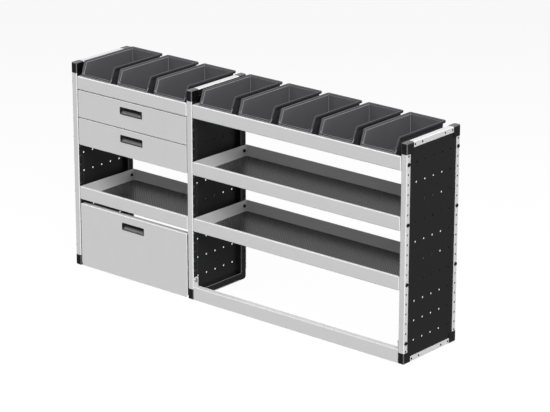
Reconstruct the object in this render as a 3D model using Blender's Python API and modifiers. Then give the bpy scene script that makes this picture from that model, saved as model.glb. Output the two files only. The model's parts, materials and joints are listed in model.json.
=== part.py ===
"""Van racking system: three perforated uprights, two bays of trays, drawers, open bins and a flap.

Units are metres, +Z is up, the front faces -Y, and the origin is on the floor at the middle.
"""
from math import pi

import bmesh
import bpy
from mathutils import Matrix, Vector

# Driving dimensions of the whole rack
upright_width = 0.0305
left_bay_width = 0.689
right_bay_width = 1.1885
rack_depth = 0.374
upright_height = 0.999
clearance = 0.0003
overrun = 0.004
round_profile_share = 0.5

# Hole pattern of the uprights
hole_end_offset = 0.0945
post_hole_count = 19
post_hole_radius = 0.0034
post_hole_setback = 0.0125
panel_hole_radius = 0.0042
panel_hole_rows = 10
panel_hole_columns = 5
panel_row_pitches = 2
panel_column_spacing = 0.0609
hole_sides = 5
boss_sides = 8

# Edge trims, folded pans and corner caps of the uprights
trim_thickness = 0.002
trim_flange = 0.025
trim_lip = 0.006
trim_radius = 0.0035
pan_thickness = 0.0015
pan_flange = 0.0225
pan_radius = 0.006
cap_proud = 0.0015
cap_height = 0.049
cap_reach = 0.046
cap_radius = 0.003

# Trays
tray_lip = 0.0625
tray_wall_drop = 0.005
tray_thickness = 0.0012
tray_hem = 0.012
tray_corner_radius = 0.0045
tray_side_gap = 0.0005
boss_radius = 0.006
lower_tray_hole = 6
middle_tray_hole = 12
upper_tray_hole = 18

# Rubber mats
mat_thickness = 0.003
mat_margin = 0.001

# Bottom rail of the right bay
rail_height = 0.0625
rail_floor_gap = 0.0015
rail_flange = 0.029
rail_thickness = 0.0015
rail_radius = 0.003
bracket_width = 0.030
bracket_over_hole = 0.014
bracket_thickness = 0.002
bracket_radius = 0.006
end_play = 0.0018

# Open-front bins
bin_height = 0.132
bin_setback = 0.020
bin_rear_gap = 0.016
bin_lip_height = 0.067
bin_slant = 0.018
bin_rim = 0.0065
bin_rim_drop = 0.007
bin_wall = 0.0022
bin_draft = 0.006
bin_corner_radius = 0.005
right_bin_gap = 0.032
right_bin_margin = 0.03525
right_bin_count = 5
left_bin_gap = 0.0305
left_bin_margin = 0.017
left_bin_count = 3

# Drawers
drawer_pitches = 3
drawer_gap = 0.003
drawer_side_gap = 0.0055
drawer_front_depth = 0.018
drawer_front_thickness = 0.0015
drawer_front_lip = 0.014
drawer_front_radius = 0.0022
drawer_box_lift = 0.016
drawer_box_top_gap = 0.018
drawer_box_thickness = 0.0012
drawer_box_radius = 0.003
drawer_rear_gap = 0.0177
housing_thickness = 0.0015
housing_setback = 0.0215
housing_foot = 0.0012
housing_radius = 0.004

# Telescopic slides
slide_shortfall = 0.006
slide_height = 0.040
slide_depth = 0.012
slide_gauge = 0.0013
slide_play = 0.0004
slide_box_gap = 0.001
slide_lift = 0.050

# Recessed cup handles
handle_width = 0.138
handle_height = 0.035
handle_bezel = 0.0045
handle_bezel_thickness = 0.0012
handle_cup_depth = 0.0145
handle_wall = 0.0016
handle_below_top = 0.029
flap_handle_below_top = 0.035
handle_fit = 0.0004

# Drop-down flap and its threshold
flap_tray_gap = 0.02175
flap_side_gap = 0.008
flap_depth = 0.020
flap_thickness = 0.0012
flap_lip = 0.028
flap_radius = 0.0022
flap_skirt_bottom = 0.004
flap_floor_height = 0.013
hinge_setback = 0.0046
hinge_height = 0.008
hinge_pin_radius = 0.002
hinge_bore_radius = 0.0024
hinge_knuckle_radius = 0.0042
hinge_lug_radius = 0.003
hinge_knuckle_length = 0.030
hinge_lug_length = 0.014
hinge_play = 0.0005
hinge_reach_shares = (-0.36, 0.0, 0.36)
threshold_thickness = 0.002
threshold_front = 0.0095
threshold_depth = 0.022
threshold_tab_depth = 0.018
round_sides = 8

# Places that follow from the sizes above
total_width = 3 * upright_width + left_bay_width + right_bay_width
left_edge = -total_width / 2
front = -rack_depth / 2
back = rack_depth / 2
foot = cap_proud
top = foot + upright_height
left_bay = (left_edge + upright_width, left_edge + upright_width + left_bay_width)
right_bay = (left_bay[1] + upright_width, left_bay[1] + upright_width + right_bay_width)
first_hole = foot + hole_end_offset
hole_pitch = (upright_height - 2 * hole_end_offset) / (post_hole_count - 1)
hole_rows_y = (front + post_hole_setback, back - post_hole_setback)
bin_depth = rack_depth - bin_setback - bin_rear_gap
drawer_height = drawer_pitches * hole_pitch - drawer_gap
drawer_box_height = drawer_height - drawer_box_lift - drawer_box_top_gap
drawer_box_depth = rack_depth - drawer_front_depth - clearance - drawer_rear_gap
slide_length = drawer_box_depth - slide_shortfall
flap_top = first_hole + lower_tray_hole * hole_pitch - tray_lip / 2 - flap_tray_gap


def hole_height(index):
    """Height of one hole of the post's row, counted from the bottom."""
    return first_hole + index * hole_pitch


def clear_scene():
    """Remove every object that the file starts with."""
    for item in list(bpy.data.objects):
        bpy.data.objects.remove(item, do_unlink=True)


def new_collection(name):
    """Make a collection in the scene."""
    group = bpy.data.collections.new(name)
    bpy.context.scene.collection.children.link(group)
    return group


def linear(value):
    """Turn one sRGB channel from 0 to 1 into linear light."""
    if value <= 0.04045:
        return value / 12.92
    return ((value + 0.055) / 1.055) ** 2.4


def material(name, colour, roughness, metallic):
    """Make a Principled material from a hex colour."""
    made = bpy.data.materials.new(name)
    made.use_nodes = True
    channels = [linear(int(colour[i:i + 2], 16) / 255) for i in (0, 2, 4)]
    shader = made.node_tree.nodes["Principled BSDF"]
    shader.inputs["Base Color"].default_value = (*channels, 1.0)
    shader.inputs["Roughness"].default_value = roughness
    shader.inputs["Metallic"].default_value = metallic
    made.diffuse_color = (*channels, 1.0)
    return made


def add_object(name, mesh_data, group, finish=None):
    """Put a bmesh into the scene as an object."""
    mesh = bpy.data.meshes.new(name)
    mesh_data.to_mesh(mesh)
    mesh_data.free()
    item = bpy.data.objects.new(name, mesh)
    group.objects.link(item)
    if finish is not None:
        item.data.materials.append(finish)
    return item


def cuboid(x, y, z):
    """Return a bmesh block that spans three pairs of bounds."""
    block = bmesh.new()
    bmesh.ops.create_cube(block, size=1.0)
    spans = [pair[1] - pair[0] for pair in (x, y, z)]
    middles = [(pair[1] + pair[0]) / 2 for pair in (x, y, z)]
    bmesh.ops.scale(block, vec=spans, verts=block.verts)
    bmesh.ops.translate(block, vec=middles, verts=block.verts)
    return block


def faces_toward(block, *directions):
    """List the faces whose normals point along any of the directions."""
    block.normal_update()
    found = []
    for face in block.faces:
        if any(face.normal.dot(Vector(way)) > 0.99 for way in directions):
            found.append(face)
    return found


def open_sides(block, *directions):
    """Delete the faces that point along the directions."""
    doomed = faces_toward(block, *directions)
    bmesh.ops.delete(block, geom=doomed, context="FACES")


def edge_between(block, first, second):
    """List the edges shared by faces that point along two directions."""
    found = []
    for edge in block.edges:
        if len(edge.link_faces) != 2:
            continue
        normals = [face.normal for face in edge.link_faces]
        pairs = ((first, second), (second, first))
        for one, two in pairs:
            if normals[0].dot(Vector(one)) > 0.99 and normals[1].dot(Vector(two)) > 0.99:
                found.append(edge)
    return found


def rounded(item, radius, segments):
    """Round the folds of an open sheet or the edges of a block."""
    bevel = item.modifiers.new("Rounding", "BEVEL")
    bevel.width = radius
    bevel.segments = segments
    bevel.limit_method = "ANGLE"
    bevel.angle_limit = pi / 6
    bevel.use_clamp_overlap = True


def thickened(item, thickness):
    """Give an open sheet its thickness, inward from its outer face."""
    solid = item.modifiers.new("Sheet", "SOLIDIFY")
    solid.thickness = thickness
    solid.offset = -1.0
    solid.use_even_offset = True
    solid.use_rim = True


def joined(item, tool, operation):
    """Add one Boolean step that uses a hidden tool object."""
    step = item.modifiers.new(tool.name, "BOOLEAN")
    step.operation = operation
    step.solver = "EXACT"
    step.object = tool


def tool_object(name, mesh_data):
    """Put a bmesh into the collection of cutters, out of the render."""
    item = add_object(name, mesh_data, cutters)
    item.hide_render = True
    item.display_type = "WIRE"
    return item


def drill_row(block, centres, radius, half_length, sides, axis="X"):
    """Add a row of rods along X or Y to a bmesh, one at each centre."""
    turn = Matrix.Rotation(pi / 2, 4, "Y" if axis == "X" else "X")
    for centre in centres:
        bmesh.ops.create_cone(
            block, cap_ends=True, segments=sides, radius1=radius, radius2=radius,
            depth=2 * half_length, matrix=Matrix.Translation(centre) @ turn)


def settle_origin(item, point):
    """Move an object's origin to a point and leave its shape in place."""
    item.data.transform(Matrix.Translation(-Vector(point)))
    item.location = point


def centre_origin(item):
    """Put an object's origin at the middle of its mesh."""
    corners = [Vector(corner) for corner in item.bound_box]
    settle_origin(item, sum(corners, Vector()) / len(corners))


def upright_frame(start, outward):
    """Return the outer and inner X of an upright whose flat base faces outward."""
    if outward < 0:
        return start, start + upright_width
    return start + upright_width, start


def span(one, two):
    """Sort two bounds."""
    return min(one, two), max(one, two)


def make_pan(label, start, outward):
    """Folded black pan: perforated base outside, rims and return flanges inside."""
    inset = trim_thickness + clearance
    x = (start + inset, start + upright_width - inset)
    y = (front + inset, back - inset)
    z = (foot + inset, top - inset)
    sheet = cuboid(x, y, z)
    inner_face = faces_toward(sheet, (-outward, 0, 0))
    bmesh.ops.inset_region(sheet, faces=inner_face, thickness=pan_flange, use_even_offset=True)
    centre = [face for face in faces_toward(sheet, (-outward, 0, 0))
              if abs(face.calc_center_median().y) < rack_depth / 4
              and abs(face.calc_center_median().z - (foot + top) / 2) < upright_height / 4]
    bmesh.ops.delete(sheet, geom=centre, context="FACES")
    pan = add_object(f"upright_{label}_pan", sheet, parts, black_coat)
    rounded(pan, pan_radius, 2)
    thickened(pan, pan_thickness)
    base_x = x[0] if outward < 0 else x[1]
    holes = bmesh.new()
    middle = (panel_hole_columns - 1) / 2
    base_centres = [
        (base_x, (column - middle) * panel_column_spacing, hole_height(row * panel_row_pitches))
        for row in range(panel_hole_rows) for column in range(panel_hole_columns)]
    drill_row(holes, base_centres, panel_hole_radius, pan_thickness + overrun, hole_sides)
    joined(pan, tool_object(f"upright_{label}_pan_holes", holes), "DIFFERENCE")
    centre_origin(pan)


def trim_strip(name, x, y, z, outward, facing, holes_at):
    """Rounded aluminium angle with a wide drilled flange outside and a short lip inside."""
    strip = cuboid(x, y, z)
    length_axis = (0, 0, 1) if facing.y else (0, 1, 0)
    open_sides(strip, -facing, length_axis, tuple(-value for value in length_axis))
    inner_x = x[1] if outward < 0 else x[0]
    shift = facing * (trim_flange - trim_lip)
    face_place = Vector((0, y[0] if facing.y < 0 else y[1], z[0] if facing.z < 0 else z[1]))
    for vertex in strip.verts:
        away = (vertex.co - face_place).dot(facing)
        if abs(vertex.co.x - inner_x) < clearance and away < -trim_lip:
            vertex.co += shift
    item = add_object(name, strip, parts, light_coat)
    rounded(item, trim_radius, 3)
    thickened(item, trim_thickness)
    if holes_at:
        rods = bmesh.new()
        drill_row(rods, holes_at, post_hole_radius, trim_thickness + overrun, hole_sides)
        joined(item, tool_object(f"{name}_holes", rods), "DIFFERENCE")
    centre_origin(item)


def make_trims(label, start, outward):
    """Four trims around one upright, between its corner caps."""
    x = (start, start + upright_width)
    outer_x = upright_frame(start, outward)[0]
    post_z = (foot + cap_height + clearance, top - cap_height - clearance)
    beam_y = (front + cap_reach + clearance, back - cap_reach - clearance)
    columns = (("front", front, 1, hole_rows_y[0]), ("rear", back, -1, hole_rows_y[1]))
    for side, face_y, inward, row_y in columns:
        centres = [(outer_x, row_y, hole_height(index)) for index in range(post_hole_count)]
        y = span(face_y, face_y + inward * trim_flange)
        trim_strip(f"upright_{label}_{side}_trim", x, y, post_z, outward,
                   Vector((0, -inward, 0)), centres)
    beams = (("top", top, -1), ("bottom", foot, 1))
    for side, face_z, inward in beams:
        z = span(face_z, face_z + inward * trim_flange)
        trim_strip(f"upright_{label}_{side}_trim", x, beam_y, z, outward,
                   Vector((0, 0, -inward)), None)


def make_caps(label, start):
    """Four moulded corner caps that close the ends of the trims."""
    x = (start - cap_proud, start + upright_width + cap_proud)
    depth_sides = (("front", front, 1), ("rear", back, -1))
    height_sides = (("top", top, -1), ("bottom", foot, 1))
    for depth_name, face_y, back_way in depth_sides:
        for height_name, face_z, up_way in height_sides:
            y = span(face_y - back_way * cap_proud, face_y + back_way * cap_reach)
            z = span(face_z - up_way * cap_proud, face_z + up_way * cap_height)
            shell = cuboid(x, y, z)
            open_sides(shell, (0, back_way, 0), (0, 0, up_way))
            name = f"upright_{label}_cap_{depth_name}_{height_name}"
            cap = add_object(name, shell, parts, black_plastic)
            rounded(cap, cap_radius, 1)
            thickened(cap, cap_proud + trim_thickness)
            centre_origin(cap)


def boss_rods(block, centres, length):
    """Add short bosses along X, one around each (x, y, z, way) place."""
    for x, y, z, way in centres:
        middle = x + way * (length / 2 - overrun / 4)
        drill_row(block, [(middle, y, z)], boss_radius, (length + overrun / 2) / 2, boss_sides)


def make_tray(name, bay, hole_index, boss_sides):
    """Folded tray: flat floor, low walls all round and a hem on the front lip."""
    x = (bay[0] + tray_side_gap, bay[1] - tray_side_gap)
    z_middle = hole_height(hole_index)
    z = (z_middle - tray_lip / 2, z_middle + tray_lip / 2)
    sheet = cuboid(x, (front, back), z)
    open_sides(sheet, (0, 0, 1))
    for vertex in sheet.verts:
        if vertex.co.y > 0 and vertex.co.z > z_middle:
            vertex.co.z -= tray_wall_drop
    hem_ends = (x[0] + tray_corner_radius + clearance, x[1] - tray_corner_radius - clearance)
    for end_x in hem_ends:
        lip_face = faces_toward(sheet, (0, -1, 0))
        lip = lip_face + list({edge for face in lip_face for edge in face.edges})
        bmesh.ops.bisect_plane(sheet, geom=lip, plane_co=(end_x, 0, 0), plane_no=(1, 0, 0))
    lip_edges = [edge for edge in sheet.edges
                 if all(vertex.co.y < 0 and vertex.co.z > z_middle
                        and hem_ends[0] - overrun < vertex.co.x < hem_ends[1] + overrun
                        for vertex in edge.verts)]
    grown = bmesh.ops.extrude_edge_only(sheet, edges=lip_edges)["geom"]
    hem = [item for item in grown if isinstance(item, bmesh.types.BMVert)]
    bmesh.ops.translate(sheet, vec=(0, tray_hem, 0), verts=hem)
    tray = add_object(name, sheet, parts, light_coat)
    rounded(tray, tray_corner_radius, 2)
    thickened(tray, tray_thickness)
    places = []
    for side in boss_sides:
        wall_x = x[0] if side < 0 else x[1]
        for y_row in hole_rows_y:
            places.append((wall_x, y_row, z_middle, side))
    bosses = bmesh.new()
    boss_rods(bosses, places, tray_side_gap + trim_thickness)
    joined(tray, tool_object(f"{name}_bosses", bosses), "UNION")
    centre_origin(tray)
    return z[0] + tray_thickness


def make_mat(name, bay, floor_z):
    """Loose rubber mat on the floor of a tray."""
    corner_inset = tray_corner_radius + mat_margin
    inset = tray_side_gap + corner_inset
    x = (bay[0] + inset, bay[1] - inset)
    y = (front + corner_inset, back - corner_inset)
    z = (floor_z + clearance, floor_z + clearance + mat_thickness)
    mat = add_object(name, cuboid(x, y, z), parts, black_rubber)
    centre_origin(mat)


def make_rail():
    """Bottom rail of the right bay: folded front with a shelf on top and a bracket at each end."""
    x = (right_bay[0] + end_play, right_bay[1] - end_play)
    z = (rail_floor_gap, rail_floor_gap + rail_height)
    sheet = cuboid(x, (front, front + rail_flange), z)
    open_sides(sheet, (0, 1, 0), (0, 0, -1), (1, 0, 0), (-1, 0, 0))
    rail = add_object("rail_bottom", sheet, parts, light_coat)
    rounded(rail, rail_radius, 3)
    thickened(rail, rail_thickness)
    tabs = bmesh.new()
    hole_z = hole_height(0)
    for edge_x, inward in ((x[0], 1), (x[1], -1)):
        tab_x = span(edge_x, edge_x + inward * bracket_thickness)
        tab_y = (front + rail_thickness / 2, front + bracket_width)
        tab_z = (z[0] + rail_thickness, hole_z + bracket_over_hole)
        tab = cuboid(tab_x, tab_y, tab_z)
        corners = edge_between(tab, (0, 1, 0), (0, 0, 1)) + edge_between(tab, (0, -1, 0), (0, 0, 1))
        bmesh.ops.bevel(tab, geom=corners, offset=bracket_radius, segments=3, affect="EDGES",
                        profile=round_profile_share)
        append_block(tabs, tab)
    joined(rail, tool_object("rail_bottom_tabs", tabs), "UNION")
    bosses = bmesh.new()
    places = [(x[0], hole_rows_y[0], hole_z, -1), (x[1], hole_rows_y[0], hole_z, 1)]
    boss_rods(bosses, places, end_play + trim_thickness)
    joined(rail, tool_object("rail_bottom_bosses", bosses), "UNION")
    centre_origin(rail)


def append_block(target, source):
    """Copy one bmesh into another and free the first."""
    carrier = bpy.data.meshes.new("carrier")
    source.to_mesh(carrier)
    source.free()
    target.from_mesh(carrier)
    bpy.data.meshes.remove(carrier)


def bin_shell(x, y, z):
    """Open sheet of a bin: drafted walls, low front lip and slanting front edges."""
    shell = cuboid(x, y, z)
    middle = ((x[0] + x[1]) / 2, (y[0] + y[1]) / 2)
    for vertex in shell.verts:
        if vertex.co.z < (z[0] + z[1]) / 2:
            vertex.co.x += bin_draft if vertex.co.x < middle[0] else -bin_draft
            vertex.co.y += bin_draft if vertex.co.y < middle[1] else -bin_draft
    open_sides(shell, (0, 0, 1))
    corners = [edge for edge in shell.edges
               if len(edge.link_faces) == 2
               and abs(edge.verts[0].co.z - edge.verts[1].co.z) > bin_height / 2]
    bmesh.ops.bevel(shell, geom=corners, offset=bin_corner_radius, segments=2, affect="EDGES",
                    profile=round_profile_share)
    rise = z[1] - z[0] - bin_lip_height
    lip_y = y[0] + bin_draft * rise / (z[1] - z[0])
    knee = Vector((middle[0], lip_y, z[0] + bin_lip_height))
    head = Vector((middle[0], lip_y + bin_slant, z[1]))
    slope = head - knee
    normal = Vector((0, -slope.z, slope.y))
    bmesh.ops.bisect_plane(shell, geom=list(shell.verts) + list(shell.edges) + list(shell.faces),
                           plane_co=knee, plane_no=normal, clear_outer=True)
    return shell, middle


def make_bin(name, centre_x, width, floor_z):
    """Moulded open-front bin with a turned-over rim."""
    overhang = bin_rim + bin_wall
    half = width / 2 - overhang
    x = (centre_x - half, centre_x + half)
    y = (front + bin_setback + overhang, front + bin_setback + bin_depth - overhang)
    z = (floor_z + clearance, floor_z + clearance + bin_height - bin_wall)
    shell, middle = bin_shell(x, y, z)
    rim_edges = [edge for edge in shell.edges if len(edge.link_faces) == 1]
    for drop, widen in ((0, bin_rim), (bin_rim_drop, 0)):
        grown = bmesh.ops.extrude_edge_only(shell, edges=rim_edges)["geom"]
        fresh = [item for item in grown if isinstance(item, bmesh.types.BMVert)]
        for vertex in fresh:
            vertex.co.x += -widen if vertex.co.x < middle[0] else widen
            vertex.co.y += -widen if vertex.co.y < middle[1] else widen
            vertex.co.z -= drop
        rim_edges = [item for item in grown if isinstance(item, bmesh.types.BMEdge)
                     and len(item.link_faces) == 1
                     and all(vertex in fresh for vertex in item.verts)]
    bin_item = add_object(name, shell, parts, bin_plastic)
    thickened(bin_item, bin_wall)
    centre_origin(bin_item)


def make_bins(side, bay, count, gap, margin, floor_z):
    """Row of bins that fills a tray, with a gap between bins and a margin at each end."""
    width = (bay[1] - bay[0] - 2 * margin - (count - 1) * gap) / count
    for index in range(count):
        centre_x = bay[0] + margin + width / 2 + index * (width + gap)
        make_bin(f"bin_{side}_{index + 1}", centre_x, width, floor_z)


def slide_rows():
    """Return the height of the slides of the lower and the upper drawer."""
    base = hole_height(middle_tray_hole) - tray_lip / 2
    return [base + index * drawer_pitches * hole_pitch + slide_lift for index in range(2)]


def slide_faces():
    """Return the inner face X of each side plate with the way toward the drawer."""
    left = left_bay[0] + clearance + housing_thickness
    right = left_bay[1] - clearance - housing_thickness
    return (("left", left, 1), ("right", right, -1))


def make_housing():
    """Folded drawer housing with side plates, rear wall and the fixed channels of the slides."""
    x = (left_bay[0] + clearance, left_bay[1] - clearance)
    y = (front + housing_setback, back)
    z = (hole_height(middle_tray_hole) - tray_lip / 2 + housing_foot,
         hole_height(upper_tray_hole) - tray_lip / 2 - clearance)
    sheet = cuboid(x, y, z)
    open_sides(sheet, (0, -1, 0), (0, 0, 1), (0, 0, -1))
    housing = add_object("drawer_housing", sheet, parts, black_coat)
    rounded(housing, housing_radius, 2)
    thickened(housing, housing_thickness)
    slide_y = (y[0], y[0] + slide_length)
    for height_index, row_z in enumerate(slide_rows()):
        for side, face_x, inward in slide_faces():
            tool_name = f"drawer_housing_channel_{side}_{height_index}"
            channel_x = span(face_x - inward * housing_thickness / 2,
                             face_x + inward * slide_depth)
            channel = cuboid(channel_x, slide_y,
                             (row_z - slide_height / 2, row_z + slide_height / 2))
            open_sides(channel, (inward, 0, 0), (0, 1, 0), (0, -1, 0))
            tool = tool_object(tool_name, channel)
            thickened(tool, housing_thickness / 2 + slide_gauge)
            joined(housing, tool, "UNION")
    centre_origin(housing)


def middle_channel(name, side_face, inward, row_z):
    """Middle member of one telescopic slide."""
    web_x = side_face + inward * (slide_gauge + slide_play)
    lip_x = side_face + inward * (slide_depth - slide_play)
    half = slide_height / 2 - housing_thickness / 2 - slide_gauge - slide_play
    y = (front + housing_setback, front + housing_setback + slide_length)
    channel = cuboid(span(web_x, lip_x), y, (row_z - half, row_z + half))
    open_sides(channel, (inward, 0, 0), (0, 1, 0), (0, -1, 0))
    item = add_object(name, channel, parts, zinc_steel)
    thickened(item, slide_gauge)
    centre_origin(item)


def drawer_bounds(index):
    """Return the bounds of a drawer front, counted from the lower drawer."""
    base = hole_height(middle_tray_hole) - tray_lip / 2 + index * drawer_pitches * hole_pitch
    x = (left_bay[0] + drawer_side_gap, left_bay[1] - drawer_side_gap)
    z = (base, base + drawer_height)
    return x, z


def folded_front(name, x, y, z, lip, radius, thickness, skirt):
    """Pan-shaped front: a flat face with rims and return lips behind it."""
    sheet = cuboid(x, y, z)
    rear = faces_toward(sheet, (0, 1, 0))
    bmesh.ops.inset_region(sheet, faces=rear, thickness=lip, use_even_offset=True)
    middle_z = (z[0] + z[1]) / 2
    hollow = [face for face in faces_toward(sheet, (0, 1, 0))
              if abs(face.calc_center_median().z - middle_z) < (z[1] - z[0]) / 4
              and abs(face.calc_center_median().x - (x[0] + x[1]) / 2) < (x[1] - x[0]) / 4]
    bmesh.ops.delete(sheet, geom=hollow, context="FACES")
    item = add_object(name, sheet, parts, light_coat)
    rounded(item, radius, 2)
    thickened(item, thickness)
    if skirt:
        plate = cuboid((x[0] + radius, x[1] - radius), (y[0], y[0] + thickness),
                       (skirt, z[0] + 2 * radius))
        joined(item, tool_object(f"{name}_skirt", plate), "UNION")
    return item


def cut_handle_place(item, centre_x, top_z):
    """Cut the opening for a cup handle."""
    half = handle_width / 2 - handle_bezel + handle_fit
    z = (top_z - handle_height + handle_bezel - handle_fit, top_z - handle_bezel + handle_fit)
    cut = cuboid((centre_x - half, centre_x + half), (front - overrun, front + overrun), z)
    joined(item, tool_object(f"{item.name}_handle_cut", cut), "DIFFERENCE")


def make_handle(name, centre_x, top_z, skin):
    """Moulded cup handle: thin bezel on the face, cup with a sloping floor behind it."""
    bezel_x = (centre_x - handle_width / 2, centre_x + handle_width / 2)
    bezel_z = (top_z - handle_height, top_z)
    bezel = cuboid(bezel_x, (front - clearance - handle_bezel_thickness, front - clearance), bezel_z)
    rim = edge_between(bezel, (1, 0, 0), (0, 0, 1)) + edge_between(bezel, (1, 0, 0), (0, 0, -1))
    rim += edge_between(bezel, (-1, 0, 0), (0, 0, 1)) + edge_between(bezel, (-1, 0, 0), (0, 0, -1))
    bmesh.ops.bevel(bezel, geom=rim, offset=handle_bezel / 2, segments=2, affect="EDGES",
                    profile=round_profile_share)
    handle = add_object(name, bezel, parts, black_plastic)
    cup_x = (bezel_x[0] + handle_bezel, bezel_x[1] - handle_bezel)
    cup_z = (bezel_z[0] + handle_bezel, bezel_z[1] - handle_bezel)
    cup_y = (front - clearance - handle_bezel_thickness / 2, front + skin + handle_cup_depth)
    cup = tool_object(f"{name}_cup", cuboid(cup_x, cup_y, cup_z))
    joined(handle, cup, "UNION")
    hollow_x = (cup_x[0] + handle_wall, cup_x[1] - handle_wall)
    hollow_z = (cup_z[0] + handle_wall, cup_z[1] - handle_wall)
    hollow = cuboid(hollow_x, (front - overrun, cup_y[1] - handle_wall), hollow_z)
    for vertex in hollow.verts:
        if vertex.co.y > front and vertex.co.z < top_z - handle_height / 2:
            vertex.co.z += (hollow_z[1] - hollow_z[0]) / 2
    joined(handle, tool_object(f"{name}_hollow", hollow), "DIFFERENCE")
    centre_origin(handle)


def make_drawer(index, label):
    """Drawer front, folded box with its slide rails, cup handle and middle slide members."""
    x, z = drawer_bounds(index)
    centre_x = sum(left_bay) / 2
    front_item = folded_front(f"drawer_{label}_front", x, (front, front + drawer_front_depth), z,
                              drawer_front_lip, drawer_front_radius, drawer_front_thickness, None)
    cut_handle_place(front_item, centre_x, z[1] - handle_below_top)
    centre_origin(front_item)
    make_handle(f"drawer_{label}_handle", centre_x, z[1] - handle_below_top,
                drawer_front_thickness)
    (_, left_face, _), (_, right_face, _) = slide_faces()
    box_x = (left_face + slide_depth + slide_box_gap, right_face - slide_depth - slide_box_gap)
    box_y0 = front + drawer_front_depth + clearance
    box_z0 = z[0] + drawer_box_lift
    sheet = cuboid(box_x, (box_y0, box_y0 + drawer_box_depth),
                   (box_z0, box_z0 + drawer_box_height))
    open_sides(sheet, (0, 0, 1))
    box = add_object(f"drawer_{label}_box", sheet, parts, light_coat)
    rounded(box, drawer_box_radius, 2)
    thickened(box, drawer_box_thickness)
    row_z = slide_rows()[index]
    half = (slide_height / 2 - housing_thickness / 2 - 2 * slide_gauge - 2 * slide_play)
    slide_y0 = front + housing_setback
    for side, face_x, inward in slide_faces():
        bar_x = span(face_x + inward * 2 * (slide_gauge + slide_play),
                     face_x + inward * (slide_depth + slide_box_gap + drawer_box_thickness / 2))
        bar = cuboid(bar_x, (slide_y0, slide_y0 + slide_length), (row_z - half, row_z + half))
        joined(box, tool_object(f"drawer_{label}_rail_{side}", bar), "UNION")
        middle_channel(f"slide_{label}_{side}_middle", face_x, inward, row_z)
    centre_origin(box)


def hinge_places():
    """Return the middle X of each hinge of the flap."""
    middle = sum(left_bay) / 2
    return [middle + share * left_bay_width for share in hinge_reach_shares]


def make_flap():
    """Drop-down flap with rolled hinge knuckles under its bottom rim."""
    x = (left_bay[0] + flap_side_gap, left_bay[1] - flap_side_gap)
    leaf = folded_front("flap_leaf", x, (front, front + flap_depth), (flap_floor_height, flap_top),
                        flap_lip, flap_radius, flap_thickness, flap_skirt_bottom)
    axis_y = front + hinge_setback
    knuckles = bmesh.new()
    bores = bmesh.new()
    centres = [(place, axis_y, hinge_height) for place in hinge_places()]
    drill_row(knuckles, centres, hinge_knuckle_radius, hinge_knuckle_length / 2, round_sides)
    drill_row(bores, centres, hinge_bore_radius, hinge_knuckle_length / 2 + overrun, round_sides)
    joined(leaf, tool_object("flap_leaf_knuckles", knuckles), "UNION")
    joined(leaf, tool_object("flap_leaf_bores", bores), "DIFFERENCE")
    handle_top = flap_top - flap_handle_below_top
    cut_handle_place(leaf, sum(left_bay) / 2, handle_top)
    settle_origin(leaf, (sum(left_bay) / 2, axis_y, hinge_height))
    make_handle("flap_handle", sum(left_bay) / 2, handle_top, flap_thickness)


def make_threshold():
    """Threshold behind the flap: folded angle, hinge lugs with their pins and end tabs."""
    x = (left_bay[0] + end_play, left_bay[1] - end_play)
    y = (front + threshold_front, front + threshold_front + threshold_depth)
    z = (rail_floor_gap, flap_floor_height - clearance)
    sheet = cuboid(x, y, z)
    open_sides(sheet, (0, -1, 0), (0, 0, -1), (1, 0, 0), (-1, 0, 0))
    threshold = add_object("flap_threshold", sheet, parts, light_coat)
    thickened(threshold, threshold_thickness)
    axis_y = front + hinge_setback
    reach = hinge_knuckle_length / 2 + hinge_play
    lugs = bmesh.new()
    arms = bmesh.new()
    pins = bmesh.new()
    for place in hinge_places():
        drill_row(pins, [(place, axis_y, hinge_height)], hinge_pin_radius,
                  reach + hinge_lug_length / 2, round_sides)
        for way in (-1, 1):
            lug_x = place + way * (reach + hinge_lug_length / 2)
            drill_row(lugs, [(lug_x, axis_y, hinge_height)], hinge_lug_radius,
                      hinge_lug_length / 2, round_sides)
            half_arm = hinge_lug_length / 2 - hinge_play
            arm = cuboid((lug_x - half_arm, lug_x + half_arm),
                         (axis_y + hinge_play, y[0] + threshold_thickness),
                         (hinge_height + hinge_play, z[1] - threshold_thickness / 2))
            append_block(arms, arm)
    joined(threshold, tool_object("flap_threshold_arms", arms), "UNION")
    joined(threshold, tool_object("flap_threshold_lugs", lugs), "UNION")
    joined(threshold, tool_object("flap_threshold_pins", pins), "UNION")
    tabs = bmesh.new()
    bosses = bmesh.new()
    hole_z = hole_height(0)
    for edge_x, inward in ((x[0], 1), (x[1], -1)):
        tab = cuboid(span(edge_x, edge_x + inward * bracket_thickness),
                     (y[0], y[0] + threshold_tab_depth),
                     (z[1] - threshold_thickness / 2, hole_z + bracket_over_hole))
        append_block(tabs, tab)
    joined(threshold, tool_object("flap_threshold_tabs", tabs), "UNION")
    places = [(x[0], hole_rows_y[0] + bracket_radius, hole_z, -1),
              (x[1], hole_rows_y[0] + bracket_radius, hole_z, 1)]
    boss_rods(bosses, places[:1], end_play + trim_thickness)
    boss_rods(bosses, places[1:], end_play - clearance)
    joined(threshold, tool_object("flap_threshold_bosses", bosses), "UNION")
    centre_origin(threshold)


clear_scene()
parts = new_collection("Van racking system")
cutters = new_collection("Cutters")
light_coat = material("Light grey coated metal", "C9C9C9", 0.42, 0.0)
black_coat = material("Black powder-coated steel", "26262A", 0.6, 0.0)
black_plastic = material("Black moulded plastic", "1D1D1F", 0.45, 0.0)
bin_plastic = material("Dark grey polypropylene", "444446", 0.5, 0.0)
black_rubber = material("Ribbed rubber", "4A4A4A", 0.85, 0.0)
zinc_steel = material("Zinc-plated steel", "A9ADB0", 0.35, 1.0)

uprights = (("left", left_edge, -1), ("middle", left_bay[1], -1), ("right", right_bay[1], 1))
for upright_label, upright_start, outward_way in uprights:
    make_pan(upright_label, upright_start, outward_way)
    make_trims(upright_label, upright_start, outward_way)
    make_caps(upright_label, upright_start)

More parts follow.
